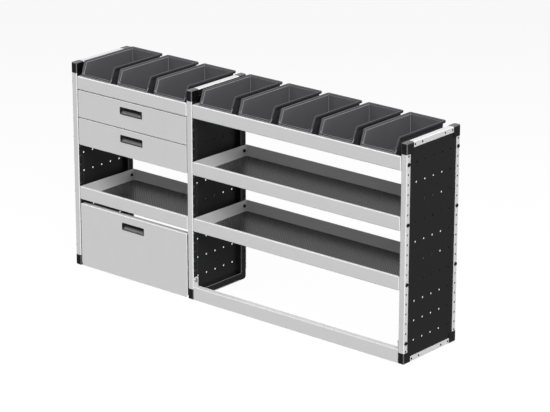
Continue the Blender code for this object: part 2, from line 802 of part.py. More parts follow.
left_top_floor = make_tray("tray_left_upper", left_bay, upper_tray_hole, (-1,))
left_low_floor = make_tray("tray_left_lower", left_bay, lower_tray_hole, (-1,))
right_top_floor = make_tray("tray_right_upper", right_bay, upper_tray_hole, (-1, 1))
right_mid_floor = make_tray("tray_right_middle", right_bay, middle_tray_hole, (-1, 1))
right_low_floor = make_tray("tray_right_lower", right_bay, lower_tray_hole, (-1, 1))
make_mat("mat_left_lower", left_bay, left_low_floor)
make_mat("mat_right_middle", right_bay, right_mid_floor)
make_mat("mat_right_lower", right_bay, right_low_floor)
make_rail()

make_bins("left", left_bay, left_bin_count, left_bin_gap, left_bin_margin, left_top_floor)
make_bins("right", right_bay, right_bin_count, right_bin_gap, right_bin_margin, right_top_floor)

make_housing()
make_drawer(0, "lower")
make_drawer(1, "upper")
make_flap()
make_threshold()
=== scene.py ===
"""Finished look of a van racking system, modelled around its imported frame.

Lengths are metres in the frame's own axes: +X along the rack, -Y to the front and +Z up.
"""

import json
from math import cos, pi, radians, sin

import bmesh
import bpy
from bpy.props import FloatProperty, FloatVectorProperty, IntProperty, PointerProperty
from mathutils import Matrix, Vector


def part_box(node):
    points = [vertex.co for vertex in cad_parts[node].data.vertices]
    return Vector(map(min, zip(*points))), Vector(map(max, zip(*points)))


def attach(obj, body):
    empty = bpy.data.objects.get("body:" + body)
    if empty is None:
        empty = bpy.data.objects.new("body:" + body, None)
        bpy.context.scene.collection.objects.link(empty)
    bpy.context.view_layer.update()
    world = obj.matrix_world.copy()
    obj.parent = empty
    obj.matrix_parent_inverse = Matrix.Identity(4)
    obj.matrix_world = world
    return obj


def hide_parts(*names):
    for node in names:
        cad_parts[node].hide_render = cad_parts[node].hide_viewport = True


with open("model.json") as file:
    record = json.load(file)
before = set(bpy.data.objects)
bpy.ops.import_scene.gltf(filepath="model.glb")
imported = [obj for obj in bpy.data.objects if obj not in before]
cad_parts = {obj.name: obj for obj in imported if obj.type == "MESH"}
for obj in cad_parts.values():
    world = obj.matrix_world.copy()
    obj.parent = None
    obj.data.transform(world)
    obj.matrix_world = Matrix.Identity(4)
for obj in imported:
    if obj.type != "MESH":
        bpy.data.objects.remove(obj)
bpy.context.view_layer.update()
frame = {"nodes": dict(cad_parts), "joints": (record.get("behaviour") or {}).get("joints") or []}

bl_info = {
    "name": "Van racking",
    "version": (1, 0, 0),
    "blender": (4, 5, 0),
    "location": "View3D > Sidebar > Van racking",
    "description": "Models the finished parts of a van racking system on its packed frame",
    "category": "Object",
}

# Places that come from the frame
UPRIGHTS = ("left", "middle", "right")
TRAYS = ("tray_left_upper", "tray_left_lower", "tray_right_upper", "tray_right_middle",
         "tray_right_lower")
MATS = ("mat_left_lower", "mat_right_middle", "mat_right_lower")
BINS = ("bin_left_1", "bin_left_2", "bin_left_3", "bin_right_1", "bin_right_2",
        "bin_right_3", "bin_right_4", "bin_right_5")
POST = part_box("upright_left_front_trim")
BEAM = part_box("upright_left_top_trim")
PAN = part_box("upright_left_pan")
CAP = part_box("upright_left_cap_front_top")
WIDTH = POST[1].x - POST[0].x
FRONT = POST[0].y
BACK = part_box("upright_left_rear_trim")[1].y
MIDDLE_HEIGHT = (POST[0].z + POST[1].z) / 2
BEAM_TOP = BEAM[1].z
POST_X = {label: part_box(f"upright_{label}_front_trim")[0].x for label in UPRIGHTS}
LEFT_BAY = (POST_X["left"] + WIDTH, POST_X["middle"])
RIGHT_BAY = (POST_X["middle"] + WIDTH, POST_X["right"])
PATTERN_PLACE = Vector((POST_X["left"] + WIDTH / 2, 0, MIDDLE_HEIGHT))

# Limits that tell faces, edges and places apart
NEAR = 0.00001
SQUARE_SHARE = 0.99
BENT_SHARE = 0.985
FOLD_ANGLE = radians(30)
EASED_ANGLE = radians(50)
SHADED_ANGLE = radians(35)


def linear(code):
    """Turn an sRGB hex colour into linear light."""
    channels = [int(code[i:i + 2], 16) / 255 for i in (0, 2, 4)]
    return [value / 12.92 if value <= 0.04045 else ((value + 0.055) / 1.055) ** 2.4
            for value in channels]


def colour_setting(label, code):
    """Make one colour property from an sRGB hex value."""
    return FloatVectorProperty(name=label, description=f"Colour of the {label.lower()}",
                               subtype="COLOR", size=3, min=0, max=1, default=linear(code))


def length_setting(label, words, size):
    """Make one length property in metres."""
    return FloatProperty(name=label, description=words, default=size, min=0, unit="LENGTH",
                         precision=4)


class RackColours(bpy.types.PropertyGroup):
    """Colours of the finishes."""
    grey_coat: colour_setting("Light grey coat", "D1D1D1")
    strip_coat: colour_setting("Edge strips", "CFCFCF")
    black_coat: colour_setting("Black side panels", "181819")
    cap_plastic: colour_setting("Corner caps", "0E0E0F")
    # Lighter colour on the grey folds: a painted highlight.
    coat_fold_painted_highlight: colour_setting("Painted highlight on the grey folds", "E4E4E4")
    # Lighter colour on the black folds: a painted highlight.
    black_fold_painted_highlight: colour_setting("Painted highlight on the black folds", "727273")
    # Lighter colour on the caps' rounded edges: a painted highlight.
    cap_edge: colour_setting("Edges of the corner caps", "505051")
    bin_plastic: colour_setting("Storage bins", "535355")
    # Darker than the bins' own plastic: painted shade between the bins and under their low front
    # rim.
    bin_outside: colour_setting("Textured bin outsides with painted shade", "373739")
    # Lighter colour on the bins' rim edges and rear inner corners: a painted highlight.
    bin_edge: colour_setting("Painted highlight on the bin rims", "7C7C7E")
    mat_rubber: colour_setting("Rubber mats", "1F1F1F")
    cup_plastic: colour_setting("Cup handles", "0C0C0D")
    # Grey on the scoops' sloped floors: a painted highlight.
    scoop_painted_highlight: colour_setting("Worn scoops of the cup handles", "6A6A6B")
    zinc: colour_setting("Zinc plating", "B4B8BB")
    bolt_steel: colour_setting("Blackened bolts", "141415")
    floor: colour_setting("Studio floor", "303030")


class RackSizes(bpy.types.PropertyGroup):
    """Sizes that the frame doesn't give."""
    hole_pitch: length_setting("Hole pitch", "Distance between the post's holes", 0.045)
    post_holes: IntProperty(name="Post holes", description="Holes in one post", default=19, min=1)
    post_hole_radius: length_setting("Post hole radius", "Radius of a post's hole", 0.0050)
    hole_setback: length_setting("Hole setback", "From the post's face to its holes", 0.0125)
    panel_hole_radius: length_setting("Panel hole radius", "Radius of a panel's hole", 0.0042)
    panel_spacing: length_setting("Panel hole spacing", "Between the panel's columns", 0.0600)
    panel_shift: length_setting("Panel hole shift", "From the panel's middle to its holes", 0.0045)
    panel_columns: IntProperty(name="Panel columns", description="Hole columns", default=5, min=1)
    panel_rows: IntProperty(name="Panel rows", description="Hole rows", default=10, min=1)
    strip_gauge: length_setting("Strip gauge", "Thickness of the edge strips", 0.0014)
    strip_lip: length_setting("Strip lip", "Short leg of the edge strips", 0.0042)
    strip_fold: length_setting("Strip fold", "Radius of the strips' folds", 0.0038)
    pan_gauge: length_setting("Panel gauge", "Thickness of the side panels", 0.0015)
    pan_flange: length_setting("Panel flange", "Width of the panels' return flanges", 0.0320)
    pan_foot: length_setting("Panel foot", "Width of the foot of the panels' inner lips", 0.005)
    pan_fold: length_setting("Panel fold", "Radius of the panels' folds", 0.006)
    pan_corner: length_setting("Panel corner", "Radius of the panels' outer corners", 0.014)
    cap_wall: length_setting("Cap wall", "Wall of the corner caps", 0.0035)
    cap_fold: length_setting("Cap rounding", "Radius of the corner caps' edges", 0.0058)
    tray_gauge: length_setting("Tray gauge", "Thickness of the trays", 0.0012)
    tray_fold: length_setting("Tray fold", "Radius of the trays' folds", 0.0045)
    tray_hem: length_setting("Tray hem", "Depth of the folded front hem", 0.012)
    tray_gap: length_setting("Tray side gap", "From a tray to the upright", 0.0022)
    wall_drop: length_setting("Wall drop", "How far the rear wall is lower", 0.005)
    bin_fillet: length_setting("Bin fillet", "Slope between wall and rim", 0.0022)
    bin_rim: length_setting("Bin rim", "Width of the bins' rim with its fillet", 0.0072)
    bin_step: length_setting("Bin step", "Upright band between the bins' walls and rim", 0.0055)
    bin_depth: length_setting("Bin depth", "Depth of the bins over their rims", 0.357)
    bin_setback: length_setting("Bin setback", "From the rack's front to the bins", 0.007)
    bin_skirt: length_setting("Bin skirt", "Height of the rim's skirt", 0.0075)
    bin_wall: length_setting("Bin wall", "Wall of the bins", 0.0022)
    bin_draft: length_setting("Bin draft", "How far the walls lean in", 0.006)
    bin_lip: length_setting("Bin lip", "Height of the low front", 0.0665)
    bin_slant: length_setting("Bin slant", "How far the front edges lean back", 0.024)
    bin_corner: length_setting("Bin corner", "Radius of the upright corners", 0.004)


def sizes():
    """Return the size settings of the scene."""
    return bpy.context.scene.rack_sizes


def colours():
    """Return the colour settings of the scene."""
    return bpy.context.scene.rack_colours


def half_hole_row():
    """Return half the length of a post's row of holes."""
    return (sizes().post_holes - 1) * sizes().hole_pitch / 2


# Modelling helpers


def clear_selection():
    """Leave edit mode and deselect everything."""
    if bpy.context.object is not None and bpy.context.object.mode != "OBJECT":
        bpy.ops.object.mode_set(mode="OBJECT")
    bpy.ops.object.select_all(action="DESELECT")


def select_only(piece):
    """Select one piece and make it active."""
    clear_selection()
    piece.select_set(True)
    bpy.context.view_layer.objects.active = piece


def settled(name):
    """Name the active object and put its place, turn and scale into its mesh."""
    piece = bpy.context.active_object
    piece.name = name
    piece.data.name = name
    bpy.ops.object.transform_apply(location=True, rotation=True, scale=True)
    return piece


def add_block(name, low, high):
    """Add a cube primitive between two corners."""
    clear_selection()
    middle = [(one + two) / 2 for one, two in zip(low, high)]
    spans = [two - one for one, two in zip(low, high)]
    bpy.ops.mesh.primitive_cube_add(size=1, location=middle, scale=spans)
    return settled(name)


def add_rod(name, centre, radius, length, sides):
    """Add a cylinder primitive that lies along X."""
    clear_selection()
    bpy.ops.mesh.primitive_cylinder_add(vertices=sides, radius=radius, depth=length,
                                        location=centre, rotation=(0, pi / 2, 0))
    return settled(name)


def choose(piece, kind, test):
    """Select the vertices, edges or faces of a piece that pass a test, in edit mode."""
    if piece.mode != "EDIT":
        select_only(piece)
        bpy.ops.object.mode_set(mode="EDIT")
    bpy.ops.mesh.select_mode(type=kind)
    bpy.ops.mesh.select_all(action="DESELECT")
    shape = bmesh.from_edit_mesh(piece.data)
    shape.normal_update()
    for item in {"VERT": shape.verts, "EDGE": shape.edges, "FACE": shape.faces}[kind]:
        if test(item):
            item.select_set(True)
    bmesh.update_edit_mesh(piece.data)


def facing(*way):
    """Return a test for faces whose normal points one way."""
    return lambda face: face.normal.dot(Vector(way)) > SQUARE_SHARE


def facing_any(*ways):
    """Return a test for faces whose normal points one of several ways."""
    return lambda face: any(facing(*way)(face) for way in ways)


def is_fold(edge):
    """Tell whether an edge is a fold between two faces."""
    return len(edge.link_faces) == 2 and edge.calc_face_angle(0) > FOLD_ANGLE


def is_open(edge):
    """Tell whether an edge bounds an open sheet."""
    return len(edge.link_faces) == 1


def reach(edge, axis):
    """Return how far an edge reaches along one axis."""
    one, two = (getattr(vertex.co, axis) for vertex in edge.verts)
    return abs(one - two)


def is_near(one, two):
    """Tell whether two measures are the same but for rounding."""
    return abs(one - two) < NEAR


def middle_of(edge):
    """Return the middle point of an edge."""
    return (edge.verts[0].co + edge.verts[1].co) / 2


def finish_with(piece, kind, **settings):
    """Add one modifier with its settings and apply it."""
    select_only(piece)
    bpy.ops.object.modifier_add(type=kind)
    step = piece.modifiers[-1]
    for key, value in settings.items():
        setattr(step, key, value)
    bpy.ops.object.modifier_apply(modifier=step.name)


def extrude(*way):
    """Extrude what is chosen in edit mode and move it."""
    bpy.ops.mesh.extrude_region_move(TRANSFORM_OT_translate={"value": way})


def round_folds(piece, radius, segments, test=is_fold):
    """Round the folds of a piece in edit mode."""
    choose(piece, "EDGE", test)
    bpy.ops.mesh.bevel(offset=radius, segments=segments, affect="EDGES")
    clear_selection()


def delete_faces(piece, test):
    """Delete the faces of a piece that pass a test."""
    choose(piece, "FACE", test)
    bpy.ops.mesh.delete(type="FACE")
    clear_selection()


def give_gauge(piece, gauge):
    """Give an open sheet its thickness, inward from its outer face."""
    finish_with(piece, "SOLIDIFY", thickness=gauge, offset=-1, use_even_offset=True)


def ease_edges(piece, radius, segments=2):
    """Break the sharp edges that are left."""
    finish_with(piece, "BEVEL", width=radius, segments=segments, limit_method="ANGLE",
                angle_limit=EASED_ANGLE)


def discard(*patterns):
    """Remove cutters and patterns that have done their work."""
    for pattern in patterns:
        bpy.data.objects.remove(pattern)


def cut(piece, cutter, operation="DIFFERENCE"):
    """Cut one piece with another, or join them, and remove the second."""
    finish_with(piece, "BOOLEAN", operation=operation, solver="EXACT", object=cutter)
    discard(cutter)


def drill(piece, centre, radius, length, rows=(), sides=20):
    """Cut a hole through a piece along X, or a row or grid of holes."""
    cutter = add_rod("drill", centre, radius, length, sides)
    for count, step in rows:
        finish_with(cutter, "ARRAY", count=count, use_relative_offset=False,
                    use_constant_offset=True, constant_offset_displace=step)
    cut(piece, cutter)


def shade(piece):
    """Shade the folds smooth and keep the flat faces flat."""
    select_only(piece)
    bpy.ops.object.shade_smooth_by_angle(angle=SHADED_ANGLE)
    finish_with(piece, "WEIGHTED_NORMAL", keep_sharp=True)


def place_copy(pattern, name, place, turn=(0, 0, 0)):
    """Copy a finished pattern with its own mesh, turned in degrees and moved into place."""
    select_only(pattern)
    bpy.ops.object.duplicate(linked=False)
    made = bpy.context.active_object
    made.rotation_euler = [radians(angle) for angle in turn]
    made.location = place
    return settled(name)


def merge(pieces, name):
    """Join several pieces into one."""
    clear_selection()
    for piece in pieces:
        piece.select_set(True)
    bpy.context.view_layer.objects.active = pieces[0]
    bpy.ops.object.join()
    return settled(name)


def dress(piece, finish, slot, body, *nodes):
    """Give a piece its material and body, and hide the frame's nodes that it replaces; the slot is
    not used.
    """
    if not piece.data.materials:
        piece.data.materials.append(finish)
    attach(piece, body)
    if nodes:
        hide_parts(*nodes)


def paint_faces(piece, finish, second, test):
    """Give a piece its finish, and the faces that pass a test a second one."""
    for item in (finish, second):
        if item.name not in piece.data.materials:
            piece.data.materials.append(item)
    choose(piece, "FACE", test)
    piece.active_material_index = piece.data.materials.find(second.name)
    bpy.ops.object.material_slot_assign()
    clear_selection()


def is_bent(face):
    """Tell whether a face belongs to a rounded fold."""
    return max(abs(part) for part in face.normal) < BENT_SHARE


def repaint(node, finish):
    """Give a node of the frame its finish."""
    item = frame["nodes"][node]
    item.data.materials.clear()
    item.data.materials.append(finish)


# Materials


def add_node(tree, kind, values=None, links=None, **settings):
    """Add one shader node with its settings, input values and incoming links."""
    made = tree.nodes.new(kind)
    for key, value in settings.items():
        setattr(made, key, value)
    for name, value in (values or {}).items():
        made.inputs[name].default_value = value
    for name, source in (links or {}).items():
        tree.links.new(source, made.inputs[name])
    return made


def new_finish(name, colour, roughness, metallic=0.0, specular=0.5):
    """Start a material: its shader, and the object coordinates that its patterns read."""
    made = bpy.data.materials.new(name)
    made.use_nodes = True
    tree = made.node_tree
    shader = tree.nodes["Principled BSDF"]
    shader.inputs["Base Color"].default_value = (*colour, 1)
    shader.inputs["Roughness"].default_value = roughness
    shader.inputs["Metallic"].default_value = metallic
    shader.inputs["Specular IOR Level"].default_value = specular
    made.diffuse_color = (*colour, 1)
    where = tree.nodes.new("ShaderNodeTexCoord").outputs["Object"]
    return made, tree, shader, where


def scale_for(millimetres):
    """Turn the real size of a pattern's features into a texture scale."""
    return 1000 / millimetres


def colour_by_pattern(tree, shader, pattern, first, second):
    """Let a pattern lead from one colour to another."""
    # A Mix node's sockets 6 and 7 are its two colours, and its output 2 is the mixed one.
    mix = add_node(tree, "ShaderNodeMix", {6: (*first, 1), 7: (*second, 1)},
                   {"Factor": pattern}, data_type="RGBA")
    tree.links.new(mix.outputs[2], shader.inputs["Base Color"])


def roughness_by_pattern(tree, shader, pattern, first, second):
    """Let a pattern lead from one roughness to another."""
    span = add_node(tree, "ShaderNodeMapRange", {"To Min": first, "To Max": second},
                    {"Value": pattern})
    tree.links.new(span.outputs["Result"], shader.inputs["Roughness"])


def vary_colour(tree, shader, where, colour, amount, size):
    """Let the colour drift a little over a given size in millimetres."""
    cloud = add_node(tree, "ShaderNodeTexNoise", {"Scale": scale_for(size), "Detail": 3.0},
                     {"Vector": where})
    darker = [channel * (1 - amount) for channel in colour]
    lighter = [min(1, channel * (1 + amount)) for channel in colour]
    colour_by_pattern(tree, shader, cloud.outputs["Fac"], darker, lighter)


def vary_roughness(tree, shader, where, low, high, size):
    """Let the roughness drift between two values over a given size in millimetres."""
    cloud = add_node(tree, "ShaderNodeTexNoise", {"Scale": scale_for(size), "Detail": 2.0},
                     {"Vector": where})
    roughness_by_pattern(tree, shader, cloud.outputs["Fac"], low, high)


def raise_bumps(tree, shader, height, strength, depth):
    """Turn a height pattern into bumps of a given depth in millimetres."""
    bump = add_node(tree, "ShaderNodeBump", {"Strength": strength, "Distance": depth / 1000},
                    {"Height": height})
    tree.links.new(bump.outputs["Normal"], shader.inputs["Normal"])


def powder_coat(name, colour, roughness, grain, strength):
    """Baked powder coat: a soft satin sheen over a fine, even orange peel."""
    made, tree, shader, where = new_finish(name, colour, roughness)
    vary_colour(tree, shader, where, colour, amount=0.03, size=90)
    vary_roughness(tree, shader, where, low=roughness - 0.04, high=roughness + 0.05, size=25)
    peel = add_node(tree, "ShaderNodeTexNoise", {"Scale": scale_for(grain), "Detail": 2.0},
                    {"Vector": where})
    raise_bumps(tree, shader, peel.outputs["Fac"], strength, depth=0.06)
    return made


def moulded_plastic(name, colour, roughness, grain, strength, specular=0.5, polish=0.0):
    """Injection-moulded plastic: a spark-eroded mould leaves a fine even grain and dull gloss."""
    made, tree, shader, where = new_finish(name, colour, roughness, specular=specular)
    shader.inputs["Coat Weight"].default_value = polish
    shader.inputs["Coat Roughness"].default_value = 0.1
    vary_colour(tree, shader, where, colour, amount=0.06, size=60)
    vary_roughness(tree, shader, where, low=roughness - 0.05, high=roughness + 0.06, size=18)
    pits = add_node(tree, "ShaderNodeTexVoronoi", {"Scale": scale_for(grain)}, {"Vector": where})
    raise_bumps(tree, shader, pits.outputs["Distance"], strength, depth=0.05)
    return made


def ribbed_rubber(name, colour):
    """Moulded rubber mat: crossed ribs, worn smooth, that leave small dull diamonds, with painted
    shade in the grooves.
    """
    made, tree, shader, where = new_finish(name, colour, roughness=0.3, specular=0.9)
    crossed = add_node(tree, "ShaderNodeMapping", {"Rotation": (0, 0, pi / 4)}, {"Vector": where})
    # The ribs are 3 mm apart on such mats and are drawn 11 mm apart, so that they show.
    rib_spacing = 11
    ribs = [add_node(tree, "ShaderNodeTexWave", {"Scale": scale_for(rib_spacing) / pi},
                     {"Vector": crossed.outputs["Vector"]}, bands_direction=way)
            for way in ("X", "Y")]
    height = add_node(tree, "ShaderNodeMath", links={0: ribs[0].outputs["Fac"],
                                                     1: ribs[1].outputs["Fac"]},
                      operation="MAXIMUM")
    # The grooves are painted nearly black: painted shade between the ribs.
    groove_share = 0.1
    groove_shade = [channel * groove_share for channel in colour]
    colour_by_pattern(tree, shader, height.outputs["Value"], groove_shade, colour)
    # The tops of the ribs are polished by use and the grooves stay dull.
    dull, polish_and_painted_highlight = 0.8, 0.22
    roughness_by_pattern(tree, shader, height.outputs["Value"], dull, polish_and_painted_highlight)
    raise_bumps(tree, shader, height.outputs["Value"], strength=0.7, depth=0.8)
    return made


def zinc_plate(name, colour):
    """Bright zinc plating on cold-rolled steel: soft streaks along the member."""
    made, tree, shader, where = new_finish(name, colour, roughness=0.32, metallic=1.0)
    streak_width = 1.5
    stretch_share = 0.04
    stretch = add_node(tree, "ShaderNodeMapping", {"Scale": (1, stretch_share, 1)},
                       {"Vector": where})
    streaks = add_node(tree, "ShaderNodeTexNoise",
                       {"Scale": scale_for(streak_width), "Detail": 3.0},
                       {"Vector": stretch.outputs["Vector"]})
    vary_colour(tree, shader, where, colour, amount=0.08, size=30)
    vary_roughness(tree, shader, stretch.outputs["Vector"], low=0.26, high=0.42, size=4)
    raise_bumps(tree, shader, streaks.outputs["Fac"], strength=0.25, depth=0.03)
    return made


def black_oxide(name, colour):
    """Blackened steel screws: dark, slightly oily metal with worn high spots."""
    made, tree, shader, where = new_finish(name, colour, roughness=0.36, metallic=0.25)
    vary_colour(tree, shader, where, colour, amount=0.2, size=4)
    vary_roughness(tree, shader, where, low=0.3, high=0.45, size=2)
    return made


# Each finish: how it is made, its colour setting, and its roughness, grain in millimetres,
# strength of the grain, gloss and polish
FINISHES = {
    "Light grey powder-coated steel":
        (powder_coat, "grey_coat", dict(roughness=0.36, grain=1.6, strength=0.12)),
    "Light grey coated aluminium strip":
        (powder_coat, "strip_coat", dict(roughness=0.32, grain=1.2, strength=0.08)),
    # A painted highlight on the folds of the grey steel and strips.
    "Light grey coat over a fold":
        (powder_coat, "coat_fold_painted_highlight", dict(roughness=0.26, grain=1.2, strength=0.05)),
    # A painted highlight on the folds of the black panels.
    "Black coat over a fold":
        (powder_coat, "black_fold_painted_highlight", dict(roughness=0.3, grain=1.2, strength=0.08)),
    "Black powder-coated steel":
        (powder_coat, "black_coat", dict(roughness=0.42, grain=1.4, strength=0.2)),
    "Black moulded nylon":
        (moulded_plastic, "cap_plastic",
         dict(roughness=0.16, grain=1.0, strength=0.03, polish=1.0)),
    # A painted highlight on the rounded edges of the corner caps.
    "Black nylon over an edge":
        (moulded_plastic, "cap_edge",
         dict(roughness=0.2, grain=1.0, strength=0.02, specular=0.3, polish=0.35)),
    "Dark grey moulded polypropylene":
        (moulded_plastic, "bin_plastic",
         dict(roughness=0.42, grain=1.4, strength=0.06, specular=0.12)),
    # Real grain, with a darker colour that is painted shade between and under the bins.
    "Textured polypropylene outside":
        (moulded_plastic, "bin_outside",
         dict(roughness=0.55, grain=1.8, strength=0.2, specular=0.2)),
    # A painted highlight on the bins' rim edges and rear inner corners.
    "Polished polypropylene rim":
        (moulded_plastic, "bin_edge",
         dict(roughness=0.3, grain=1.4, strength=0.04, specular=0.3)),
    "Black moulded ABS":
        (moulded_plastic, "cup_plastic",
         dict(roughness=0.24, grain=0.9, strength=0.03, specular=0.8)),
    # A painted highlight on the sloped floor of the cup handles' scoops.
    "Worn ABS in the scoop":
        (moulded_plastic, "scoop_painted_highlight", dict(roughness=0.34, grain=0.9, strength=0.03)),
    "Ribbed rubber": (ribbed_rubber, "mat_rubber", {}),
    "Zinc-plated steel": (zinc_plate, "zinc", {}),
    "Black-oxide steel": (black_oxide, "bolt_steel", {}),
}


def finish_named(name):
    """Return one finish by the name of its material, which is made at its first use."""
    if name in bpy.data.materials:
        return bpy.data.materials[name]
    maker, setting, values = FINISHES[name]
    return maker(name, getattr(colours(), setting), **values)


# Uprights


def upright_places():
    """Return each upright's label, the middle of its width and the way its panel faces."""
    return [(label, POST_X[label] + WIDTH / 2, 1 if label == "right" else -1)
            for label in UPRIGHTS]


def runs_across(edge):
    """Tell whether an edge runs across the upright, along X."""
    return reach(edge, "x") > WIDTH / 2


def model_strip(name, length):
    """Rounded angle strip in the place of a front post, middle height at zero."""
    size = sizes()
    flange = POST[1].y - POST[0].y
    strip = add_block(name, (-WIDTH / 2, FRONT, -length / 2),
                      (WIDTH / 2, FRONT + flange, length / 2))
    delete_faces(strip, facing_any((0, 1, 0), (0, 0, 1), (0, 0, -1)))
    choose(strip, "VERT", lambda vertex: vertex.co.x > 0 and vertex.co.y > FRONT + flange / 2)
    bpy.ops.transform.translate(value=(0, size.strip_lip - flange, 0))
    round_folds(strip, size.strip_fold, segments=5)
    # The rounded folds get a lighter colour: a painted highlight.
    paint_faces(strip, finish_named("Light grey coated aluminium strip"),
                finish_named("Light grey coat over a fold"), is_bent)
    give_gauge(strip, size.strip_gauge)
    ease_edges(strip, size.strip_gauge / 5)
    return strip


class RACK_OT_edge_strips(bpy.types.Operator):
    """Model the light grey edge strips of the uprights, with the posts' rows of holes"""
    bl_idname = "rack.edge_strips"
    bl_label = "Edge strips"

    def execute(self, context):
        size = sizes()
        coat = finish_named("Light grey coated aluminium strip")
        post = model_strip("post_pattern", POST[1].z - POST[0].z)
        beam_blank = model_strip("beam_blank", BEAM[1].y - BEAM[0].y)
        drill(post, (-WIDTH / 2, FRONT + size.hole_setback, -half_hole_row()),
              size.post_hole_radius, 4 * size.strip_gauge,
              [(size.post_holes, (0, 0, size.hole_pitch))])
        shade(post)
        beam = place_copy(beam_blank, "beam_pattern",
                          (0, 0, BEAM_TOP - MIDDLE_HEIGHT + FRONT), (-90, 0, 0))
        discard(beam_blank)
        shade(beam)
        turns = {-1: {"front": (0, 0, 0), "rear": (180, 0, 0), "top": (0, 0, 0),
                      "bottom": (180, 0, 0)},
                 1: {"front": (0, 180, 0), "rear": (0, 0, 180), "top": (0, 0, 180),
                     "bottom": (0, 180, 0)}}
        for label, middle_x, outward in upright_places():
            for side, turn in turns[outward].items():
                pattern = post if side in ("front", "rear") else beam
                piece = place_copy(pattern, f"{label}_{side}_strip",
                                   (middle_x, 0, MIDDLE_HEIGHT), turn)
                dress(piece, coat, "light_grey", "frame", f"upright_{label}_{side}_trim")
        discard(post, beam)
        return {"FINISHED"}


class RACK_OT_side_panels(bpy.types.Operator):
    """Model the black perforated side panels with their return flanges"""
    bl_idname = "rack.side_panels"
    bl_label = "Side panels"

    def execute(self, context):
        size = sizes()
        low, high = PAN[0] - PATTERN_PLACE, PAN[1] - PATTERN_PLACE
        pan = add_block("pan_pattern", low, high)
        choose(pan, "FACE", facing(1, 0, 0))
        bpy.ops.mesh.inset(thickness=size.pan_flange, depth=0)
        bpy.ops.mesh.delete(type="FACE")
        round_folds(pan, size.pan_corner, segments=6,
                    test=lambda edge: is_fold(edge) and runs_across(edge))
        round_folds(pan, size.pan_fold, segments=5)
        # The inner lips go back to the panel and turn in there as a narrow foot.
        choose(pan, "EDGE", is_open)
        extrude(low.x - high.x + 3 * size.pan_gauge, 0, 0)
        extrude(0, 0, 0)
        inner = [high.y - size.pan_flange, high.z - size.pan_flange]
        bpy.ops.transform.resize(value=(1, *[1 - size.pan_foot / span for span in inner]),
                                 center_override=(0, 0, 0))
        round_folds(pan, size.pan_fold / 3, segments=3, test=lambda edge: is_fold(edge)
                    and is_near(middle_of(edge).x, high.x)
                    and abs(middle_of(edge).y) < inner[0] + NEAR
                    and abs(middle_of(edge).z) < inner[1] + NEAR)
        coat = finish_named("Black powder-coated steel")
        # Lighter colour on the folds of the inner lips: a painted highlight.
        paint_faces(pan, coat, finish_named("Black coat over a fold"), lambda face: is_bent(face)
                    and abs(face.calc_center_median().y) < inner[0] + size.pan_fold
                    and abs(face.calc_center_median().z) < inner[1] + size.pan_fold)
        give_gauge(pan, size.pan_gauge)
        ease_edges(pan, size.pan_gauge / 4)
        half_row = half_hole_row()
        half_span = (size.panel_columns - 1) * size.panel_spacing / 2
        drill(pan, (low.x, -half_span - size.panel_shift, -half_row), size.panel_hole_radius,
              4 * size.pan_gauge, [(size.panel_columns, (0, size.panel_spacing, 0)),
                                   (size.panel_rows, (0, 0, 2 * size.hole_pitch))])
        row_y = FRONT + size.hole_setback
        drill(pan, (high.x, row_y, -half_row), size.post_hole_radius, WIDTH / 2,
              [(2, (0, -2 * row_y, 0)), (size.post_holes, (0, 0, size.hole_pitch))])
        shade(pan)
        for label, middle_x, outward in upright_places():
            turn = (0, 0, 180) if outward > 0 else (0, 0, 0)
            piece = place_copy(pan, f"{label}_side_panel", (middle_x, 0, MIDDLE_HEIGHT), turn)
            dress(piece, coat, "black_coat", "frame", f"upright_{label}_pan")
        discard(pan)
        return {"FINISHED"}


def model_cap(name, corner):
    """Moulded corner cap of the left upright's front top, with a given outer corner."""
    size = sizes()
    cap = add_block(name, CAP[0] - PATTERN_PLACE, CAP[1] - PATTERN_PLACE)
    delete_faces(cap, facing_any((0, 1, 0), (0, 0, -1)))
    if corner > size.cap_fold:
        round_folds(cap, corner, segments=6,
                    test=lambda edge: is_fold(edge) and runs_across(edge))
        choose(cap, "FACE", lambda face: True)
        bpy.ops.mesh.bisect(plane_co=(WIDTH / 2 - size.cap_fold, 0, 0), plane_no=(1, 0, 0),
                            clear_outer=True)
        clear_selection()
    round_folds(cap, size.cap_fold, segments=6)
    # The rounded edges get a lighter colour: a painted highlight.
    paint_faces(cap, finish_named("Black moulded nylon"),
                finish_named("Black nylon over an edge"), is_bent)
    give_gauge(cap, size.cap_wall)
    ease_edges(cap, size.cap_wall / 5)
    shade(cap)
    return cap


class RACK_OT_corner_caps(bpy.types.Operator):
    """Model the moulded corner caps of the uprights"""
    bl_idname = "rack.corner_caps"
    bl_label = "Corner caps"

    def execute(self, context):
        size = sizes()
        nylon = finish_named("Black moulded nylon")
        cap = model_cap("cap_pattern", size.cap_fold)
        foot = model_cap("foot_cap_pattern", size.pan_corner)
        turns = {("front", "top"): (0, 0, 0), ("rear", "top"): (0, 0, 180),
                 ("front", "bottom"): (0, 180, 0), ("rear", "bottom"): (180, 0, 0)}
        for label, middle_x, outward in upright_places():
            for (depth, height), turn in turns.items():
                pattern = foot if (depth, height, outward) == ("rear", "bottom", -1) else cap
                piece = place_copy(pattern, f"{label}_{depth}_{height}_cap",
                                   (middle_x, 0, MIDDLE_HEIGHT), turn)
                dress(piece, nylon, "black_plastic", "frame",
                      f"upright_{label}_cap_{depth}_{height}")
        discard(cap, foot)
        return {"FINISHED"}


def model_bolt(name, radius, height, socket):
    """Domed button-head screw, head toward -X, its seat at zero."""
    dome_share = 0.55
    head = add_rod(name, (-height / 2, 0, 0), radius, height, sides=28)
    round_folds(head, height * dome_share, segments=4,
                test=lambda edge: is_near(middle_of(edge).x, -height))
    drill(head, (-height, 0, 0), socket, height, sides=6)
    shade(head)
    return head


